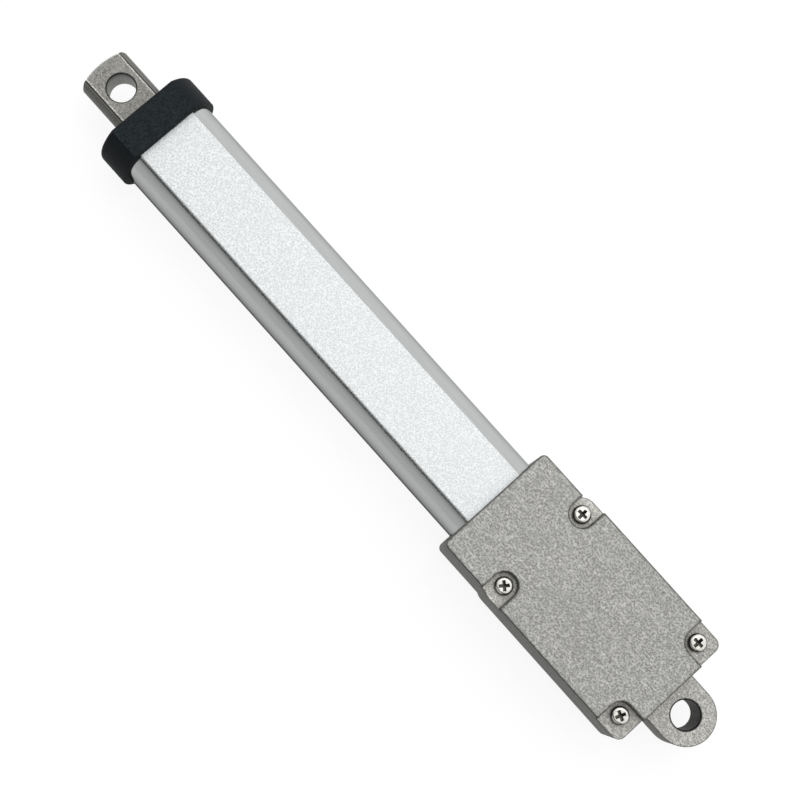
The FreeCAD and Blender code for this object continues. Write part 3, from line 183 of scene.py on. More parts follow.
# Motor end bell, bushes and terminals: a black moulding with glass fibre in it, two bushes of sintered
# bronze with oil in their pores, and two stamped brass tags.
bell_moulding = finish("bell_moulding", dark=(0.022, 0.022, 0.025), light=(0.06, 0.06, 0.066),
                       size=0.3 * MM, metallic=0.0, gloss=(0.4, 0.6), relief=0.01 * MM,
                       drawn=(1, 3, 1), soft_edge=0.12 * MM)
coat(bell_moulding, "motor_end_bell")
oiled_bronze = finish("oiled_bronze", dark=(0.22, 0.13, 0.05), light=(0.56, 0.38, 0.18), size=0.1 * MM,
                      metallic=0.9, gloss=(0.3, 0.55), relief=0.008 * MM, soft_edge=0.08 * MM)
coat(oiled_bronze, "front_bush", "rear_bush")
turned_brass = finish("turned_brass", dark=(0.5, 0.35, 0.12), light=(0.82, 0.63, 0.3), size=0.15 * MM,
                      metallic=1.0, gloss=(0.2, 0.4), relief=0.004 * MM, drawn=(0.4, 6, 6),
                      soft_edge=0.08 * MM)
coat(turned_brass, "motor_terminals")

# Gears: the first sun is turned brass, the ring gear, the second stage and both carriers are pressed
# steel powder, and the fast first planets are a pale moulded plastic that runs quietly. The planets run
# on ground pins that are pressed into the carriers.
coat(turned_brass, "sun_gear_1")
powder_steel = finish("powder_steel", dark=(0.22, 0.22, 0.215), light=(0.5, 0.5, 0.49), size=0.16 * MM,
                      metallic=0.9, gloss=(0.3, 0.55), relief=0.008 * MM, soft_edge=0.06 * MM)
coat(powder_steel, "ring_gear", "planet_carrier_1", "planet_carrier_2", "sun_gear_2",
     "planet_2a", "planet_2b", "planet_2c")
pale_moulding = finish("pale_moulding", dark=(0.66, 0.64, 0.58), light=(0.82, 0.8, 0.74), size=0.6 * MM,
                       metallic=0.0, gloss=(0.35, 0.5), relief=0.004 * MM, soft_edge=0.06 * MM)
coat(pale_moulding, "planet_1a", "planet_1b", "planet_1c")
ground_steel = finish("ground_steel", dark=(0.55, 0.55, 0.55), light=(0.8, 0.8, 0.79), size=0.12 * MM,
                      metallic=1.0, gloss=(0.1, 0.25), relief=0.0015 * MM, drawn=(0.4, 5, 5),
                      soft_edge=0.05 * MM)
coat(ground_steel, "carrier_1_pins", "carrier_2_pins")

# Lead screw: a 5 mm steel bar with a rolled thread of 2 mm lead, and a plain stub pressed into the
# carrier's hub. A retaining ring holds the bearing on it.
SCREW_RADIUS = 2.5 * MM
SCREW_STUB_RADIUS = 2.0 * MM
SCREW_BEVEL = 0.5 * MM
SCREW_LEAD = 2.0 * MM
THREAD_DEPTH = 0.62 * MM
THREAD_STEEPNESS = 1.5
THREAD_CREST = 0.25
THREAD_AROUND = 32
THREAD_STEPS = 16
MERGE_REACH = 1e-4 * MM
SLIVER = 1e-5 * MM


def skin(name, grids, crease=30):
    """A mesh from grids of points, rows by columns by 3: neighbours in a grid are joined by quads,
    points that meet are merged, and edges sharper than crease degrees stay sharp."""
    corners, quads, count = [], [], 0
    for grid in grids:
        rows, columns = grid.shape[:2]
        at = count + np.arange(rows * columns).reshape(rows, columns)
        quads.append(np.stack([at[:-1, :-1], at[1:, :-1], at[1:, 1:], at[:-1, 1:]], -1).reshape(-1, 4))
        corners.append(grid.reshape(-1, 3))
        count += rows * columns
    mesh = bpy.data.meshes.new(name)
    mesh.from_pydata(np.concatenate(corners).tolist(), [], np.concatenate(quads).tolist())
    work = bmesh.new()
    work.from_mesh(mesh)
    bmesh.ops.remove_doubles(work, verts=work.verts, dist=MERGE_REACH)
    bmesh.ops.dissolve_degenerate(work, edges=work.edges, dist=SLIVER)
    bmesh.ops.recalc_face_normals(work, faces=work.faces)
    work.to_mesh(mesh)
    work.free()
    mesh.shade_smooth()
    mesh.set_sharp_from_angle(angle=math.radians(crease))
    piece = bpy.data.objects.new(name, mesh)
    bpy.context.scene.collection.objects.link(piece)
    return piece


def stand_for(piece, node, body, material):
    """Put a finer piece in the place of a CAD node."""
    piece.data.materials.append(material)
    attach(piece, body)
    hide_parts(node)


def thread_depth(along, angle, lead, depth):
    """How far a right-hand thread is cut in at a place and angle: a wave of one lead whose crests and
    roots are flat, because the wave is clipped at both ends."""
    phase = (along / lead - angle / (2 * np.pi)) % 1.0
    wave = np.abs(2 * phase - 1)
    return depth * np.clip(THREAD_STEEPNESS * wave - THREAD_CREST, 0, 1)


def turned(profile, around):
    """A lathe shape: a profile of places along X and radii, carried round the screw's axis."""
    x, r = np.array(profile).T
    turn = np.linspace(0, 2 * np.pi, around + 1)
    flat = np.ones_like(turn)
    return np.stack([np.outer(x, flat), np.outer(r, np.cos(turn)), np.outer(r, np.sin(turn))], -1)


lead_low, lead_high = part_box("lead_screw")
ring_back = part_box("bearing_inner_ring")[0].x
thread_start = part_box("retaining_ring")[1].x + SCREW_LEAD / 2
thread_end = lead_high.x - SCREW_BEVEL
stub = [(lead_low.x, 0.0), (lead_low.x, SCREW_STUB_RADIUS), (ring_back, SCREW_STUB_RADIUS),
        (ring_back, SCREW_RADIUS), (thread_start, SCREW_RADIUS)]
point = [(thread_end, SCREW_RADIUS), (lead_high.x, SCREW_RADIUS - SCREW_BEVEL), (lead_high.x, 0.0)]
turns = (thread_end - thread_start) / SCREW_LEAD
along = np.linspace(thread_start, thread_end, int(turns * THREAD_STEPS) + 1)
angle = np.linspace(0, 2 * np.pi, THREAD_AROUND + 1)
run_in = np.clip((along - thread_start) / SCREW_LEAD, 0, 1)
run_out = np.clip((thread_end - along) / SCREW_LEAD, 0, 1)
full_cut = thread_depth(along[:, None], angle[None, :], SCREW_LEAD, THREAD_DEPTH)
radius = SCREW_RADIUS - full_cut * (run_in * run_out)[:, None]
thread = np.stack([np.broadcast_to(along[:, None], radius.shape), radius * np.cos(angle),
                   radius * np.sin(angle)], -1)
lead_screw = skin("lead_screw_thread", [turned(stub, THREAD_AROUND), thread, turned(point, THREAD_AROUND)])
rolled_steel = finish("rolled_steel", dark=(0.4, 0.4, 0.39), light=(0.66, 0.66, 0.64), size=0.25 * MM,
                      metallic=1.0, gloss=(0.18, 0.36), relief=0.002 * MM, drawn=(1, 3, 3))
stand_for(lead_screw, "lead_screw", "output", rolled_steel)
coat(rolled_steel, "retaining_ring")

# Ball bearing: ground steel rings, seven balls and a pressed brass cage, held on the screw by the
# retaining ring. The balls are rounder than the solids that carry them in the model.
BALL_COUNT = 7
BALL_AROUND = 32
coat(ground_steel, "bearing_inner_ring", "bearing_outer_ring")
coat(turned_brass, "ball_cage")
bearing_low, bearing_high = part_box("bearing_outer_ring")
ball_low, ball_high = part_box("bearing_balls")
ball_radius = (ball_high.x - ball_low.x) / 2
ball_path = (SCREW_RADIUS + bearing_high.y) / 2
polar = np.linspace(0, np.pi, BALL_AROUND // 2 + 1)[:, None]
turn = np.linspace(0, 2 * np.pi, BALL_AROUND + 1)[None, :]
ball = ball_radius * np.stack([np.cos(polar) * np.ones_like(turn), np.sin(polar) * np.cos(turn),
                               np.sin(polar) * np.sin(turn)], -1)
centres = 2 * np.pi * np.arange(BALL_COUNT) / BALL_COUNT
places = np.stack([np.full(BALL_COUNT, (bearing_low.x + bearing_high.x) / 2), ball_path * np.cos(centres),
                   ball_path * np.sin(centres)], -1)
balls = skin("polished_balls", list(ball[None] + places[:, None, None, :]), crease=180)
stand_for(balls, "bearing_balls", "cage", ground_steel)

# Drive nut and its pins: a brass block with a wing that works the switches, and two hardened pins
# that hold the rod in its socket.
coat(turned_brass, "drive_nut")
coat(ground_steel, "nut_pins")

# Push rod: a steel bar with round sides and two milled flats, whose grain shows as small facets. A painted
# highlight line and a painted shadow strip run along each flat's edges, and its eye is bored and bevelled.
ROD_ROUND = 5.9 * MM
ROD_FLAT_EDGE = 4.0 * MM
ROD_EYE_X = frame["record"]["mounts"][1]["pos_m"][0]
EYE_BORE = 3.1 * MM
EYE_RIM = 3.8 * MM
EYE_FADE = 0.1 * MM
ROD_BEVELS = ((0.63, 0), (0.67, 0.65), (0.95, 0.65), (0.98, 0))
BEVEL_PAINTED_HIGHLIGHT = (0.8, 0.79, 0.75)
EYE_RIM_PAINTED_SHADOW = (0.06, 0.06, 0.055)
FLAT_TO_SIDE_PAINTED_LIGHT_AND_SHADE = ((0.0, 1.0), (0.05, 1.85), (0.18, 1.85), (0.21, 0.05), (0.29, 0.05), (0.36, 0.3),
                (1.0, 0.6))
BORE_PAINTED_SHADOW_BOTTOM_TO_TOP = ((0.3, 1.0), (0.6, 0.9), (0.78, 0.62), (0.9, 0.2), (1.0, 0.12))


def facets(tree, size):
    """Small cells, each with a number of its own, as crystals or dents have."""
    return shade(tree, "TexVoronoi", {"Vector": where(tree), "Scale": 1 / size}).outputs["Color"]


def reckon(tree, operation, *terms):
    """One step of arithmetic on numbers and sockets."""
    return shade(tree, "Math", dict(enumerate(terms)), operation=operation).outputs[0]


def spot_of(tree):
    """The X, Y and Z of the point that is being shaded, in metres."""
    return shade(tree, "SeparateXYZ", {"Vector": where(tree)}).outputs


def grey_ramp(tree, factor, stops):
    """Blend greys while a number climbs: each stop is a number and the grey that it gives."""
    return ramp(tree, factor, *((place, (grey,) * 3) for place, grey in stops))


def lay(material, mask, tone, way="MIX"):
    """Lay one more shade over a finish, or multiply it by the shade, as far as a mask says."""
    tree = material.node_tree
    colour = tree.nodes["Principled BSDF"].inputs["Base Color"]
    over = shade(tree, "Mix", {"Factor": mask}, data_type="RGBA", blend_type=way)
    tree.links.new(colour.links[0].from_socket, over.inputs["A"])
    if isinstance(tone, bpy.types.NodeSocket):
        tree.links.new(tone, over.inputs["B"])
    else:
        over.inputs["B"].default_value = (*tone, 1)
    tree.links.new(over.outputs["Result"], colour)


def by_slope(tree, stops):
    """A mask from the way a face looks: each stop is how far it looks up or down, from 0 for an
    upright face to 1 for a level one, and the mask there."""
    facing = shade(tree, "SeparateXYZ", {"Vector": shade(tree, "NewGeometry").outputs["True Normal"]})
    return grey_ramp(tree, reckon(tree, "ABSOLUTE", facing.outputs["Z"]), stops)


def out_from_eye(tree, eye_x, start, end):
    """A mask of the way out from an eye's middle line: 0 at one radius, 1 at another and beyond it."""
    flat = shade(tree, "Mapping", {"Vector": where(tree), "Location": (-eye_x, 0, 0), "Scale": (1, 1, 0)})
    out = shade(tree, "VectorMath", {0: flat.outputs["Vector"]}, operation="LENGTH").outputs["Value"]
    return rise(tree, out, start, end)


rod_steel = finish("rod_steel", dark=(0.16, 0.158, 0.148), light=(0.45, 0.445, 0.415), size=0.2 * MM,
                   metallic=0.45, gloss=(0.32, 0.5), relief=0.01 * MM, soft_edge=0.12 * MM,
                   span=(0.15, 0.85), edge_shine=0.5, pattern=facets)
tree = rod_steel.node_tree
# The bevels get a painted highlight, and the eye's chamfer a painted shadow.
bevels = by_slope(tree, ROD_BEVELS)
past_rim = out_from_eye(tree, ROD_EYE_X, EYE_RIM, EYE_RIM + EYE_FADE)
lay(rod_steel, reckon(tree, "MULTIPLY", bevels, past_rim), BEVEL_PAINTED_HIGHLIGHT)
within_rim = out_from_eye(tree, ROD_EYE_X, EYE_RIM, EYE_RIM - EYE_FADE)
lay(rod_steel, reckon(tree, "MULTIPLY", bevels, within_rim), EYE_RIM_PAINTED_SHADOW)
# Along each flat's edge a painted highlight line, then a painted shadow strip, and painted shade over the
# round sides.
spot = spot_of(tree)
toward_side = rise(tree, reckon(tree, "ABSOLUTE", spot["Y"]), ROD_FLAT_EDGE, ROD_ROUND)
lay(rod_steel, past_rim, grey_ramp(tree, toward_side, FLAT_TO_SIDE_PAINTED_LIGHT_AND_SHADE), "MULTIPLY")
# The bore's wall is painted darker towards its top, as shadow under the rim.
rod_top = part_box("push_rod")[1].z
up_the_bore = rise(tree, spot["Z"], -rod_top, rod_top)
in_bore = out_from_eye(tree, ROD_EYE_X, EYE_BORE + EYE_FADE, EYE_BORE)
lay(rod_steel, in_bore, grey_ramp(tree, up_the_bore, BORE_PAINTED_SHADOW_BOTTOM_TO_TOP), "MULTIPLY")
coat(rod_steel, "push_rod")

# Switch board with its limit switches and diodes: green laminate, black mouldings with pale buttons.
# The board is glued along the tube's side.
green_laminate = finish("green_laminate", dark=(0.012, 0.1, 0.04), light=(0.035, 0.2, 0.09), size=0.5 * MM,
                        metallic=0.0, gloss=(0.25, 0.4), relief=0.006 * MM, drawn=(3, 1, 1))
coat(green_laminate, "switch_board")
switch_moulding = finish("switch_moulding", dark=(0.02, 0.02, 0.022), light=(0.05, 0.05, 0.055),
                         size=0.25 * MM, metallic=0.0, gloss=(0.3, 0.5), relief=0.006 * MM,
                         soft_edge=0.1 * MM)
coat(switch_moulding, "rear_limit_switch", "front_limit_switch", "blocking_diodes")
button_moulding = finish("button_moulding", dark=(0.6, 0.6, 0.57), light=(0.8, 0.8, 0.77), size=0.3 * MM,
                         metallic=0.0, gloss=(0.35, 0.5), relief=0.004 * MM, soft_edge=0.1 * MM)
coat(button_moulding, "rear_switch_button", "front_switch_button")

# Guide bush: the same pale moulding as the first planets. It is pushed into the tube's front end, guides
# the rod and keeps it from turning.
coat(pale_moulding, "rod_bush")

# Outer tube: a clear anodised aluminium extrusion. Its two flats are bead-blasted, its round flanks are
# left as drawn, and they meet at a crisp edge; a ragged dark line along the left edge is painted shade.
# It is seated in the case and held in the cap.
FLANK_POINTS = 24
TUBE_WALL = 1.4 * MM
TUBE_FLAT = 7.0 * MM
TUBE_FLANK = 5.5 * MM
FLAT_EDGE = 0.05 * MM
FINE_CELLS = 0.5
SEAM_SHARE = 0.8
BLASTED_METAL = 0.6
RAGGED_GRAIN = 0.3 * MM
RAGGED_LEFT = 0.6 * MM
RAGGED_RIGHT = 0.12 * MM
FLANK_LINES = 0.12 * MM
FLANK_LINES_DRAWN = (60, 1, 1)
GRAIN_SPAN = (0.3, 0.7)
FLANK_DARK = (0.42, 0.43, 0.428)
FLANK_LIGHT = (0.49, 0.5, 0.498)
FLANK_ROUGHNESS = 0.14
CREASE_PAINTED_SHADE_REACH = 0.62 * MM
CREASE_PAINTED_SHADE_SHARE = 0.8
CREASE_PAINTED_SHADE = (0.09, 0.092, 0.092)


def flanked(height, bend, centre, lift):
    """A closed section with two flats at plus and minus a height: its flanks are arcs of radius bend
    whose middles lie at Y centre and Z lift. One quarter is worked out, from the side up to the flat,
    and mirrored in turn. The points start on the +Y side and go round by +Z."""
    tilt = math.asin((height - lift) / bend)
    swing = np.linspace(0, tilt, FLANK_POINTS)
    quarter = np.stack([centre + bend * np.cos(swing), lift + bend * np.sin(swing)], -1)
    half = np.concatenate([quarter, quarter[::-1] * (-1, 1)])
    ring = np.concatenate([half, -half])
    return np.concatenate([ring, ring[:1]])


def carried(section, places):
    """A closed section of Y and Z carried straight along X through places."""
    x = np.asarray(places)[:, None] * np.ones(len(section))
    return np.stack([x, np.broadcast_to(section[:, 0], x.shape), np.broadcast_to(section[:, 1], x.shape)], -1)


def between(outside, inside, x):
    """The flat end between two closed sections of as many points."""
    rim = np.stack([outside, inside])
    return np.concatenate([np.full(rim.shape[:2] + (1,), x), rim], -1)


def crystals(tree, size):
    """Small dark cells with pale seams between them, over finer cells that each have a number of
    their own."""
    seams = shade(tree, "TexVoronoi", {"Vector": where(tree), "Scale": 1 / size}).outputs["Distance"]
    shares = {"Factor": SEAM_SHARE, "A": facets(tree, FINE_CELLS * size), "B": seams}
    return shade(tree, "Mix", shares, data_type="FLOAT").outputs["Result"]


tube_low, tube_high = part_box("outer_tube")
flank_centre = tube_high.y - TUBE_FLANK
flank_lift = tube_high.z - math.sqrt(TUBE_FLANK ** 2 - (TUBE_FLAT - flank_centre) ** 2)
tube_section = flanked(tube_high.z, TUBE_FLANK, flank_centre, flank_lift)
tube_hollow = flanked(tube_high.z - TUBE_WALL, TUBE_FLANK - TUBE_WALL, flank_centre, flank_lift)
tube_ends = [tube_low.x, tube_high.x]
tube = skin("outer_tube_extrusion", [carried(tube_section, tube_ends), carried(tube_hollow, tube_ends),
                                     between(tube_section, tube_hollow, tube_low.x),
                                     between(tube_section, tube_hollow, tube_high.x)], crease=12)
tube_aluminium = finish("tube_aluminium", dark=(0.59, 0.625, 0.64), light=(0.98, 1.0, 1.0), size=0.38 * MM,
                        metallic=BLASTED_METAL, gloss=(0.42, 0.6), relief=0.006 * MM,
                        soft_edge=0.35 * MM, span=(0.16, 0.7), edge_shine=0.5, pattern=crystals)
tree = tube_aluminium.node_tree
shader = tree.nodes["Principled BSDF"]
spot = spot_of(tree)
ragged_side = rise(tree, spot["Y"], -FLAT_EDGE, FLAT_EDGE, RAGGED_RIGHT, RAGGED_LEFT)
ragged = rise(tree, grain(tree, RAGGED_GRAIN), *GRAIN_SPAN, 0.0, ragged_side)
from_middle = reckon(tree, "ADD", reckon(tree, "ABSOLUTE", spot["Y"]), ragged)
inside_crease = rise(tree, from_middle, TUBE_FLAT, TUBE_FLAT - FLAT_EDGE)
level = reckon(tree, "ABSOLUTE", spot["Z"])
high_up = rise(tree, level, tube_high.z - FLAT_EDGE, tube_high.z - FLAT_EDGE / 2)
on_flat = reckon(tree, "MULTIPLY", high_up, inside_crease)
flank_lines = grain(tree, FLANK_LINES, drawn=FLANK_LINES_DRAWN)
flank_shade = ramp(tree, flank_lines, (GRAIN_SPAN[0], FLANK_DARK), (GRAIN_SPAN[1], FLANK_LIGHT))
lay(tube_aluminium, reckon(tree, "SUBTRACT", 1.0, on_flat), flank_shade)
tree.links.new(rise(tree, on_flat, 0.0, 1.0, 1.0, BLASTED_METAL), shader.inputs["Metallic"])
blasted_rough = shader.inputs["Roughness"].links[0].from_socket
both_rough = shade(tree, "Mix", {"Factor": on_flat, "A": FLANK_ROUGHNESS, "B": blasted_rough},
                   data_type="FLOAT")
tree.links.new(both_rough.outputs["Result"], shader.inputs["Roughness"])
# A ragged dark line along the left crease is painted shade.
from_left_crease = reckon(tree, "ABSOLUTE", reckon(tree, "SUBTRACT", spot["Y"], TUBE_FLAT))
from_left_crease = reckon(tree, "ADD", from_left_crease, ragged)
crease_painted_shade = rise(tree, from_left_crease, CREASE_PAINTED_SHADE_REACH, CREASE_PAINTED_SHADE_REACH / 2, 0.0, CREASE_PAINTED_SHADE_SHARE)
lay(tube_aluminium, crease_painted_shade, CREASE_PAINTED_SHADE)
stand_for(tube, "outer_tube", "body", tube_aluminium)

# End cap: a matt black moulding pushed over the tube, with two flats, a soft rim at its end and a mouth
# for the rod. Its wiper seal is black rubber, pressed in behind the mouth.
CAP_FLANK = 11.5 * MM
CAP_RIM = 0.9 * MM
CAP_BACK_RIM = 0.25 * MM
RIM_STEPS = 9
ROD_FLAT = 3.5 * MM
ROD_MOUTH = 0.3 * MM
WIPER_WALL = 1.6 * MM
CAP_SHADED_FACES = ((0.85, 1), (0.93, 0))
CAP_SIDE_PAINTED_SHADE = (0.55, 0.55, 0.55)
cap_low, cap_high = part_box("end_cap")
wiper_low, wiper_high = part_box("wiper_seal")


def cap_section(inset):
    """The cap's outer line, pulled in by a distance: two flats, and flanks that are one arc each."""
    return flanked(cap_high.z - inset, CAP_FLANK - inset, cap_high.y - CAP_FLANK, 0.0)


def rod_section(room):
    """The rod's outer line, let out by a distance: a circle that two flats cut off."""
    return flanked(ROD_FLAT + room, ROD_ROUND + room, 0.0, 0.0)


roll = np.linspace(0, np.pi / 2, RIM_STEPS)
back_x = cap_low.x + CAP_BACK_RIM * (1 - np.cos(roll))
front_x = cap_high.x - CAP_RIM * (1 - np.sin(roll))
inset = np.concatenate([CAP_BACK_RIM * (1 - np.sin(roll)), CAP_RIM * (1 - np.cos(roll))])
shell = np.concatenate([carried(cap_section(d), [x])
                        for x, d in zip(np.concatenate([back_x, front_x]), inset)])
mouth = rod_section(ROD_MOUTH)
wiper_seat = rod_section(WIPER_WALL)
cap = skin("end_cap_moulding", [shell, between(cap_section(CAP_RIM), mouth, cap_high.x),
                                carried(mouth, [cap_high.x, wiper_high.x]),
                                between(mouth, wiper_seat, wiper_high.x),
                                carried(wiper_seat, [wiper_high.x, wiper_low.x]),
                                between(wiper_seat, tube_section, wiper_low.x),
                                carried(tube_section, [wiper_low.x, cap_low.x]),
                                between(tube_section, cap_section(CAP_BACK_RIM), cap_low.x)], crease=20)
cap_moulding = finish("cap_moulding", dark=(0.008, 0.012, 0.014), light=(0.024, 0.031, 0.036),
                      size=0.3 * MM, metallic=0.0, gloss=(0.6, 0.75), relief=0.01 * MM,
                      span=(0.2, 0.8), shine=0.12, pattern=facets)
# Faces that are not level are darkened as painted shade.
lay(cap_moulding, by_slope(cap_moulding.node_tree, CAP_SHADED_FACES), CAP_SIDE_PAINTED_SHADE, "MULTIPLY")
stand_for(cap, "end_cap", "body", cap_moulding)
black_rubber = finish("black_rubber", dark=(0.012, 0.012, 0.012), light=(0.035, 0.035, 0.035),
                      size=0.2 * MM, metallic=0.0, gloss=(0.55, 0.75), relief=0.008 * MM,
                      soft_edge=0.15 * MM)
coat(black_rubber, "wiper_seal")

# Gear case and cover: two halves of a zinc die casting, tumbled to an even dull grey that shows the
# metal's grain, with fine scratches and a few dark pits. Painted shade darkens the edges, upright faces,
# fillets and the ear's bore, and painted light brightens the sunk level faces. Four screws hold them
# together.
CLOUD_SIZE = 7 * MM
CLOUD_SPAN = (0.35, 0.65)
CLOUD_SHARE = 0.22
CLOUD_SHADE = (0.32, 0.322, 0.312)
SCRATCH_LENGTH = 1.6 * MM
SCRATCH_WIDTH = 0.19 * MM
SCRATCH_TURNS = (0.5, 1.7, 2.6)
SCRATCH_SPAN = (0.68, 0.73)
SCRATCH_SHARE = 0.75
SCRATCH_SHADE = (0.8, 0.795, 0.77)
PIT_SPACING = 3.1 * MM
PIT_RADIUS = 0.22 * MM
PIT_SHARE = 0.7
PIT_SHADE = (0.1, 0.1, 0.095)
UPRIGHT_FACES = ((0.93, 1), (0.985, 0))
UPRIGHT_PAINTED_SHADE = (0.58, 0.58, 0.57)
FILLETS = ((0.3, 0), (0.4, 1), (0.9, 1), (0.95, 0))
FILLET_PAINTED_SHADE = (0.5, 0.5, 0.49)
LEVEL_FACES = ((0.9, 0), (0.95, 1))
SUNK_BY = (0.2 * MM, 0.4 * MM)
SUNK_PAINTED_LIGHT = (1.18, 1.17, 1.15)
POCKET_FLOORS = (5.5 * MM, 6.0 * MM)
POCKET_FADE = 5 * MM
FRONT_POCKET_PAINTED_LIGHT = (1.28, 1.28, 1.26)
EDGE_SAMPLES = 8
EDGE_TURN = (0.985, 0.88)
SUNK_EDGE = 0.5 * MM
OUTER_EDGE = 1.0 * MM
EDGE_PAINTED_SHADE = (0.16, 0.16, 0.15)
EAR_BORE_PAINTED_SHADE = (0.16, 0.16, 0.14)


def scratches(tree, turn):
    """A mask of short hair scratches: grain drawn out one way, kept only where it is highest."""
    drawn_out = grain(tree, SCRATCH_WIDTH, drawn=(SCRATCH_LENGTH / SCRATCH_WIDTH, 1, 1), detail=1.0,
                      turn=(0, 0, turn))
    return rise(tree, drawn_out, *SCRATCH_SPAN, 0.0, SCRATCH_SHARE)


def pits(tree):
    """A mask of round specks, one near the middle of each cell of a loose net."""
    net = shade(tree, "TexVoronoi", {"Vector": where(tree), "Scale": 1 / PIT_SPACING})
    radius = PIT_RADIUS / PIT_SPACING
    return rise(tree, net.outputs["Distance"], radius, radius / 2, 0.0, PIT_SHARE)


def along_edges(tree, reach):
    """A mask of a face's edges: the way it looks, against the way it would look with its edges
    rounded to a radius."""
    rounded = shade(tree, "Bevel", {"Radius": reach}, samples=EDGE_SAMPLES).outputs["Normal"]
    facing = shade(tree, "NewGeometry").outputs["True Normal"]
    alike = shade(tree, "VectorMath", {0: rounded, 1: facing}, operation="DOT_PRODUCT").outputs["Value"]
    return rise(tree, alike, *EDGE_TURN)


cast_zinc = finish("cast_zinc", dark=(0.22, 0.218, 0.208), light=(0.63, 0.626, 0.6), size=0.34 * MM,
                   metallic=0.35, gloss=(0.42, 0.62), relief=0.016 * MM, soft_edge=0.15 * MM,
                   span=(0.25, 0.8), shine=0.1, edge_shine=0.4, pattern=crystals)
tree = cast_zinc.node_tree
clouds = rise(tree, grain(tree, CLOUD_SIZE, detail=3.0), *CLOUD_SPAN, 0.0, CLOUD_SHARE)
lay(cast_zinc, clouds, CLOUD_SHADE)
for scratch_turn in SCRATCH_TURNS:
    lay(cast_zinc, scratches(tree, scratch_turn), SCRATCH_SHADE)
lay(cast_zinc, pits(tree), PIT_SHADE)
# Upright faces and fillets are darkened as painted shade.
lay(cast_zinc, by_slope(tree, UPRIGHT_FACES), UPRIGHT_PAINTED_SHADE, "MULTIPLY")
lay(cast_zinc, by_slope(tree, FILLETS), FILLET_PAINTED_SHADE, "MULTIPLY")
cover_low, cover_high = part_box("gear_cover")
spot = spot_of(tree)
# Level faces sunk below the cover's top are lightened as painted light, and the front pockets' floors more.
below_top = rise(tree, spot["Z"], cover_high.z - SUNK_BY[0], cover_high.z - SUNK_BY[1])
sunk_faces = reckon(tree, "MULTIPLY", below_top, by_slope(tree, LEVEL_FACES))
lay(cast_zinc, sunk_faces, SUNK_PAINTED_LIGHT, "MULTIPLY")
pocket_floors = reckon(tree, "MULTIPLY", sunk_faces, rise(tree, spot["Z"], *POCKET_FLOORS))
cover_middle = (cover_low.x + cover_high.x) / 2
ahead = rise(tree, spot["X"], cover_middle - POCKET_FADE, cover_middle + POCKET_FADE)
lay(cast_zinc, reckon(tree, "MULTIPLY", pocket_floors, ahead), FRONT_POCKET_PAINTED_LIGHT, "MULTIPLY")
# Edges are darkened as painted shade, in a narrower band round the sunk faces.
other_faces = reckon(tree, "SUBTRACT", 1.0, sunk_faces)
for faces, reach in ((sunk_faces, SUNK_EDGE), (other_faces, OUTER_EDGE)):
    lay(cast_zinc, reckon(tree, "MULTIPLY", faces, along_edges(tree, reach)), EDGE_PAINTED_SHADE, "MULTIPLY")
# The ear's bore is darkened as painted shade.
lay(cast_zinc, out_from_eye(tree, 0.0, EYE_BORE + EYE_FADE, EYE_BORE), EAR_BORE_PAINTED_SHADE, "MULTIPLY")
coat(cast_zinc, "gear_case", "gear_cover")

# Wire grommet: a black rubber bush with a hole for the wires. It is pushed into the case's right wall
# and keeps the casting's edge off them.
coat(black_rubber, "wire_grommet")

# Cover screws: steel screws with pan heads and a cross recess, plated with bright nickel. They go
# through the cover's pockets into bosses in the case, each stopped at an angle of its own.
HEAD_RADIUS = 1.9 * MM
HEAD_HEIGHT = 1.4 * MM
HEAD_ROUND = 0.75 * MM
HEAD_RINGS = 44
HEAD_ROUND_STEPS = 14
HEAD_FIRST_SWING = 0.1
HEAD_AROUND = 160
RECESS_REACH = 1.1 * MM
RECESS_HALF_WIDTH = 0.33 * MM
RECESS_DEPTH = 0.9 * MM
RECESS_WALL = 0.12 * MM
RECESS_TAPER = 0.45
RECESS_SHADOW = (0.14 * MM, 0.24 * MM)
RECESS_SHARE = 0.92
RECESS_PAINTED_SHADOW = (0.035, 0.034, 0.03)
COVER_SCREW_RADIUS = 1.0 * MM
COVER_SCREW_LEAD = 0.4 * MM
COVER_SCREW_CUT = 0.2 * MM
COVER_SCREW_STEPS = 8
COVER_SCREW_AROUND = 24


def pan_head(floor):
    """A pan head as height over a disc: flat in the middle, a quarter round at its rim, and a cross
    sunk into it. The cross is deep where a point is within an arm's half width of either of two
    crossed lines, its walls slope over a short way, and its floor climbs outwards."""
    flat_radius = HEAD_RADIUS - HEAD_ROUND
    swing = np.linspace(HEAD_FIRST_SWING, np.pi / 2, HEAD_ROUND_STEPS)
    flat_rings = np.linspace(0, flat_radius, HEAD_RINGS)
    out = np.concatenate([flat_rings, flat_radius + HEAD_ROUND * np.sin(swing)])[:, None]
    turn = np.linspace(0, 2 * np.pi, HEAD_AROUND + 1)[None, :]
    x, y = out * np.cos(turn), out * np.sin(turn)
    past_flat = np.clip(out - flat_radius, 0, None)
    top = HEAD_HEIGHT - HEAD_ROUND + np.sqrt(np.clip(HEAD_ROUND ** 2 - past_flat ** 2, 0, None)) + 0 * turn
    arm_x = np.maximum(np.abs(y) - RECESS_HALF_WIDTH, np.abs(x) - RECESS_REACH)
    arm_y = np.maximum(np.abs(x) - RECESS_HALF_WIDTH, np.abs(y) - RECESS_REACH)
    sunk = np.clip(-np.minimum(arm_x, arm_y) / RECESS_WALL, 0, 1)
    taper = 1 - RECESS_TAPER * np.clip(out / RECESS_REACH, 0, 1)
    return np.stack([x, y, floor + top - RECESS_DEPTH * sunk * taper], -1)


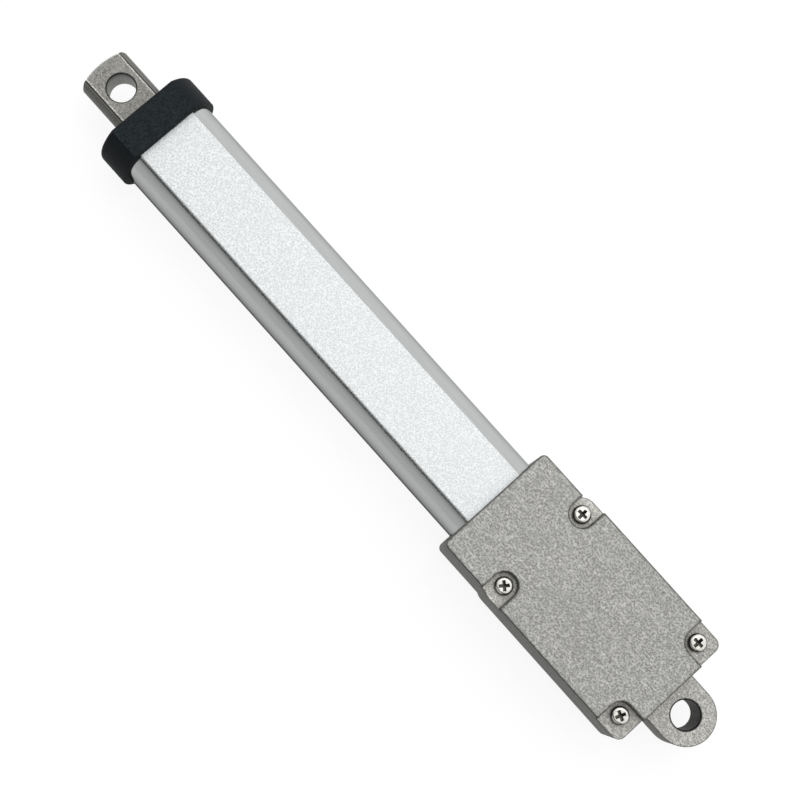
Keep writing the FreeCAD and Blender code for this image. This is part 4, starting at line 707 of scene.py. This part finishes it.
def shank(floor, bottom):
    """A threaded shank below the head: a radius less a thread's cut, carried down from the floor."""
    steps = int((floor - bottom) / COVER_SCREW_LEAD * COVER_SCREW_STEPS)
    height = np.linspace(floor, bottom, steps)[:, None]
    turn = np.linspace(0, 2 * np.pi, COVER_SCREW_AROUND + 1)[None, :]
    cut_in = thread_depth(-height, turn, COVER_SCREW_LEAD, COVER_SCREW_CUT)
    cut_in = cut_in * np.clip((floor - height) / COVER_SCREW_LEAD - 1, 0, 1)
    r = COVER_SCREW_RADIUS - cut_in
    return np.stack([r * np.cos(turn), r * np.sin(turn), height + 0 * turn], -1)


def disc(radius, height, around):
    """A flat round end: a grid from its centre out to a radius."""
    out = np.array([0.0, radius])[:, None]
    turn = np.linspace(0, 2 * np.pi, around + 1)[None, :]
    return np.stack([out * np.cos(turn), out * np.sin(turn), np.full((2, around + 1), height)], -1)


screws_low, screws_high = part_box("cover_screws")
head_floor = screws_high.z - HEAD_HEIGHT
front, rear = screws_high.x - HEAD_RADIUS, screws_low.x + HEAD_RADIUS
left, right = screws_high.y - HEAD_RADIUS, screws_low.y + HEAD_RADIUS
driven = [(front, left, 53), (front, right, 3), (rear, left, 68), (rear, right, 1)]
head = pan_head(head_floor)
head_side = np.stack([head[-1], head[-1] * (1, 1, 0) + (0, 0, head_floor)])
screw_shank = shank(head_floor, screws_low.z)
screw_end = disc(COVER_SCREW_RADIUS - COVER_SCREW_CUT / 2, screws_low.z, COVER_SCREW_AROUND)
grids = []
for x, y, degrees in driven:
    c, s = math.cos(math.radians(degrees)), math.sin(math.radians(degrees))
    turn = np.array([[c, s, 0], [-s, c, 0], [0, 0, 1]])
    for grid in (head, head_side, screw_shank, screw_end):
        grids.append(grid @ turn + (x, y, 0))
screws = skin("cover_screws_plated", grids, crease=35)
nickel = finish("nickel", dark=(0.66, 0.64, 0.59), light=(0.86, 0.84, 0.79), size=0.4 * MM,
                metallic=1.0, gloss=(0.2, 0.34), relief=0.002 * MM)
tree = nickel.node_tree
# The fall of the head's rim and the cross recess are darkened as painted shadow.
below_head = rise(tree, spot_of(tree)["Z"], screws_high.z - RECESS_SHADOW[0],
                  screws_high.z - RECESS_SHADOW[1], 0.0, RECESS_SHARE)
lay(nickel, below_head, RECESS_PAINTED_SHADOW)
stand_for(screws, "cover_screws", "body", nickel)

# Studio: a white paper floor, a soft sky that is darker on the left, one soft lamp overhead, and a
# camera that looks down on the cover as the photograph does. In the metal's reflections the floor carries
# a painted shadow: a dark strip where the tube meets it on the left, and paler painted shade further left.
FLOOR_SIDE = 8.0
FLOOR_DROP = 0.02 * MM
FLOOR_GREY = (0.17, 0.17, 0.17, 1)
FLOOR_ROUGHNESS = 0.9
FLOOR_LIFT = 0.88
MIRRORED_FLOOR = 20 * MM
FLOOR_SHADOW_IN_MIRRORS = ((0.5, 1.0), (0.52, 0.04), (0.565, 0.04), (0.605, 0.76))
SKY_FROM_RIGHT_TO_LEFT = ((0.0, 1.15), (0.35, 1.05), (0.5, 0.97), (0.63, 0.9), (0.69, 0.02), (0.81, 0.02),
                          (0.835, 0.3), (0.87, 0.54), (0.93, 0.69), (1.0, 0.8))
LAMP_PLACE = Vector((0.12, -0.34, 0.95))
LAMP_AIM = Vector((0.085, 0, 0))
LAMP_SIDE = 0.25
LAMP_WATTS = 0.8
CAMERA_PLACE = (64.32 * MM, 45.04 * MM, 343.68 * MM)
VIEW_WAY = Vector((0.0584, -0.1303, -0.9898)).normalized()
VIEW_UP = Vector((0.7428, -0.6568, 0.1303))
LENS_MM = 76.77
SENSOR_MM = 36.0
NEAREST = 10 * MM

half = FLOOR_SIDE / 2
floor_z = cad_box[0].z - FLOOR_DROP
floor_corners = [(-half, -half, floor_z), (half, -half, floor_z), (half, half, floor_z),
                 (-half, half, floor_z)]
floor_mesh = bpy.data.meshes.new("floor")
floor_mesh.from_pydata(floor_corners, [], [(0, 1, 2, 3)])
floor = bpy.data.objects.new("floor", floor_mesh)
bpy.context.scene.collection.objects.link(floor)
paper = bpy.data.materials.new("floor_paper")
paper.use_nodes = True
tree = paper.node_tree
shader = tree.nodes["Principled BSDF"]
shader.inputs["Base Color"].default_value = FLOOR_GREY
shader.inputs["Roughness"].default_value = FLOOR_ROUGHNESS
shader.inputs["Specular IOR Level"].default_value = 0.0
shader.inputs["Emission Color"].default_value = (1, 1, 1, 1)
path = shade(tree, "LightPath").outputs
seen = reckon(tree, "MAXIMUM", path["Is Camera Ray"], path["Is Transmission Ray"])
seen = reckon(tree, "MULTIPLY", seen, FLOOR_LIFT)
# Glossy rays see a painted shadow on the floor: a dark strip beside the tube on the left, and paler painted
# shade further left.
to_the_left = rise(tree, spot_of(tree)["Y"], 0.0, MIRRORED_FLOOR)
mirrored = grey_ramp(tree, to_the_left, FLOOR_SHADOW_IN_MIRRORS)
mirrored = reckon(tree, "MULTIPLY", mirrored, path["Is Glossy Ray"])
tree.links.new(reckon(tree, "ADD", seen, mirrored), shader.inputs["Emission Strength"])
floor_mesh.materials.append(paper)

world = bpy.data.worlds.new("studio")
bpy.context.scene.world = world
world.use_nodes = True
tree = world.node_tree
sky = tree.nodes["Background"]
sky_way = shade(tree, "SeparateXYZ", {"Vector": shade(tree, "TexCoord").outputs["Generated"]}).outputs
sky_grey = grey_ramp(tree, rise(tree, sky_way["Y"], -1.0, 1.0), SKY_FROM_RIGHT_TO_LEFT)
tree.links.new(sky_grey, sky.inputs["Color"])
sky.inputs["Strength"].default_value = 1.0

lamp = bpy.data.lights.new("overhead_right", "AREA")
lamp.size = LAMP_SIDE
lamp.energy = LAMP_WATTS
stand = bpy.data.objects.new("overhead_right", lamp)
stand.location = LAMP_PLACE
stand.rotation_euler = (LAMP_AIM - LAMP_PLACE).to_track_quat("-Z", "Y").to_euler()
bpy.context.scene.collection.objects.link(stand)

lens = bpy.data.cameras.new("camera")
lens.lens = LENS_MM
lens.sensor_width = SENSOR_MM
lens.clip_start = NEAREST
camera = bpy.data.objects.new("camera", lens)
view_right = VIEW_WAY.cross(VIEW_UP).normalized()
view_up = view_right.cross(VIEW_WAY)
camera_turn = Matrix((view_right, view_up, -VIEW_WAY)).transposed().to_4x4()
camera.matrix_world = Matrix.Translation(CAMERA_PLACE) @ camera_turn
bpy.context.scene.collection.objects.link(camera)
bpy.context.scene.camera = camera
bpy.context.scene.view_settings.view_transform = "Standard"
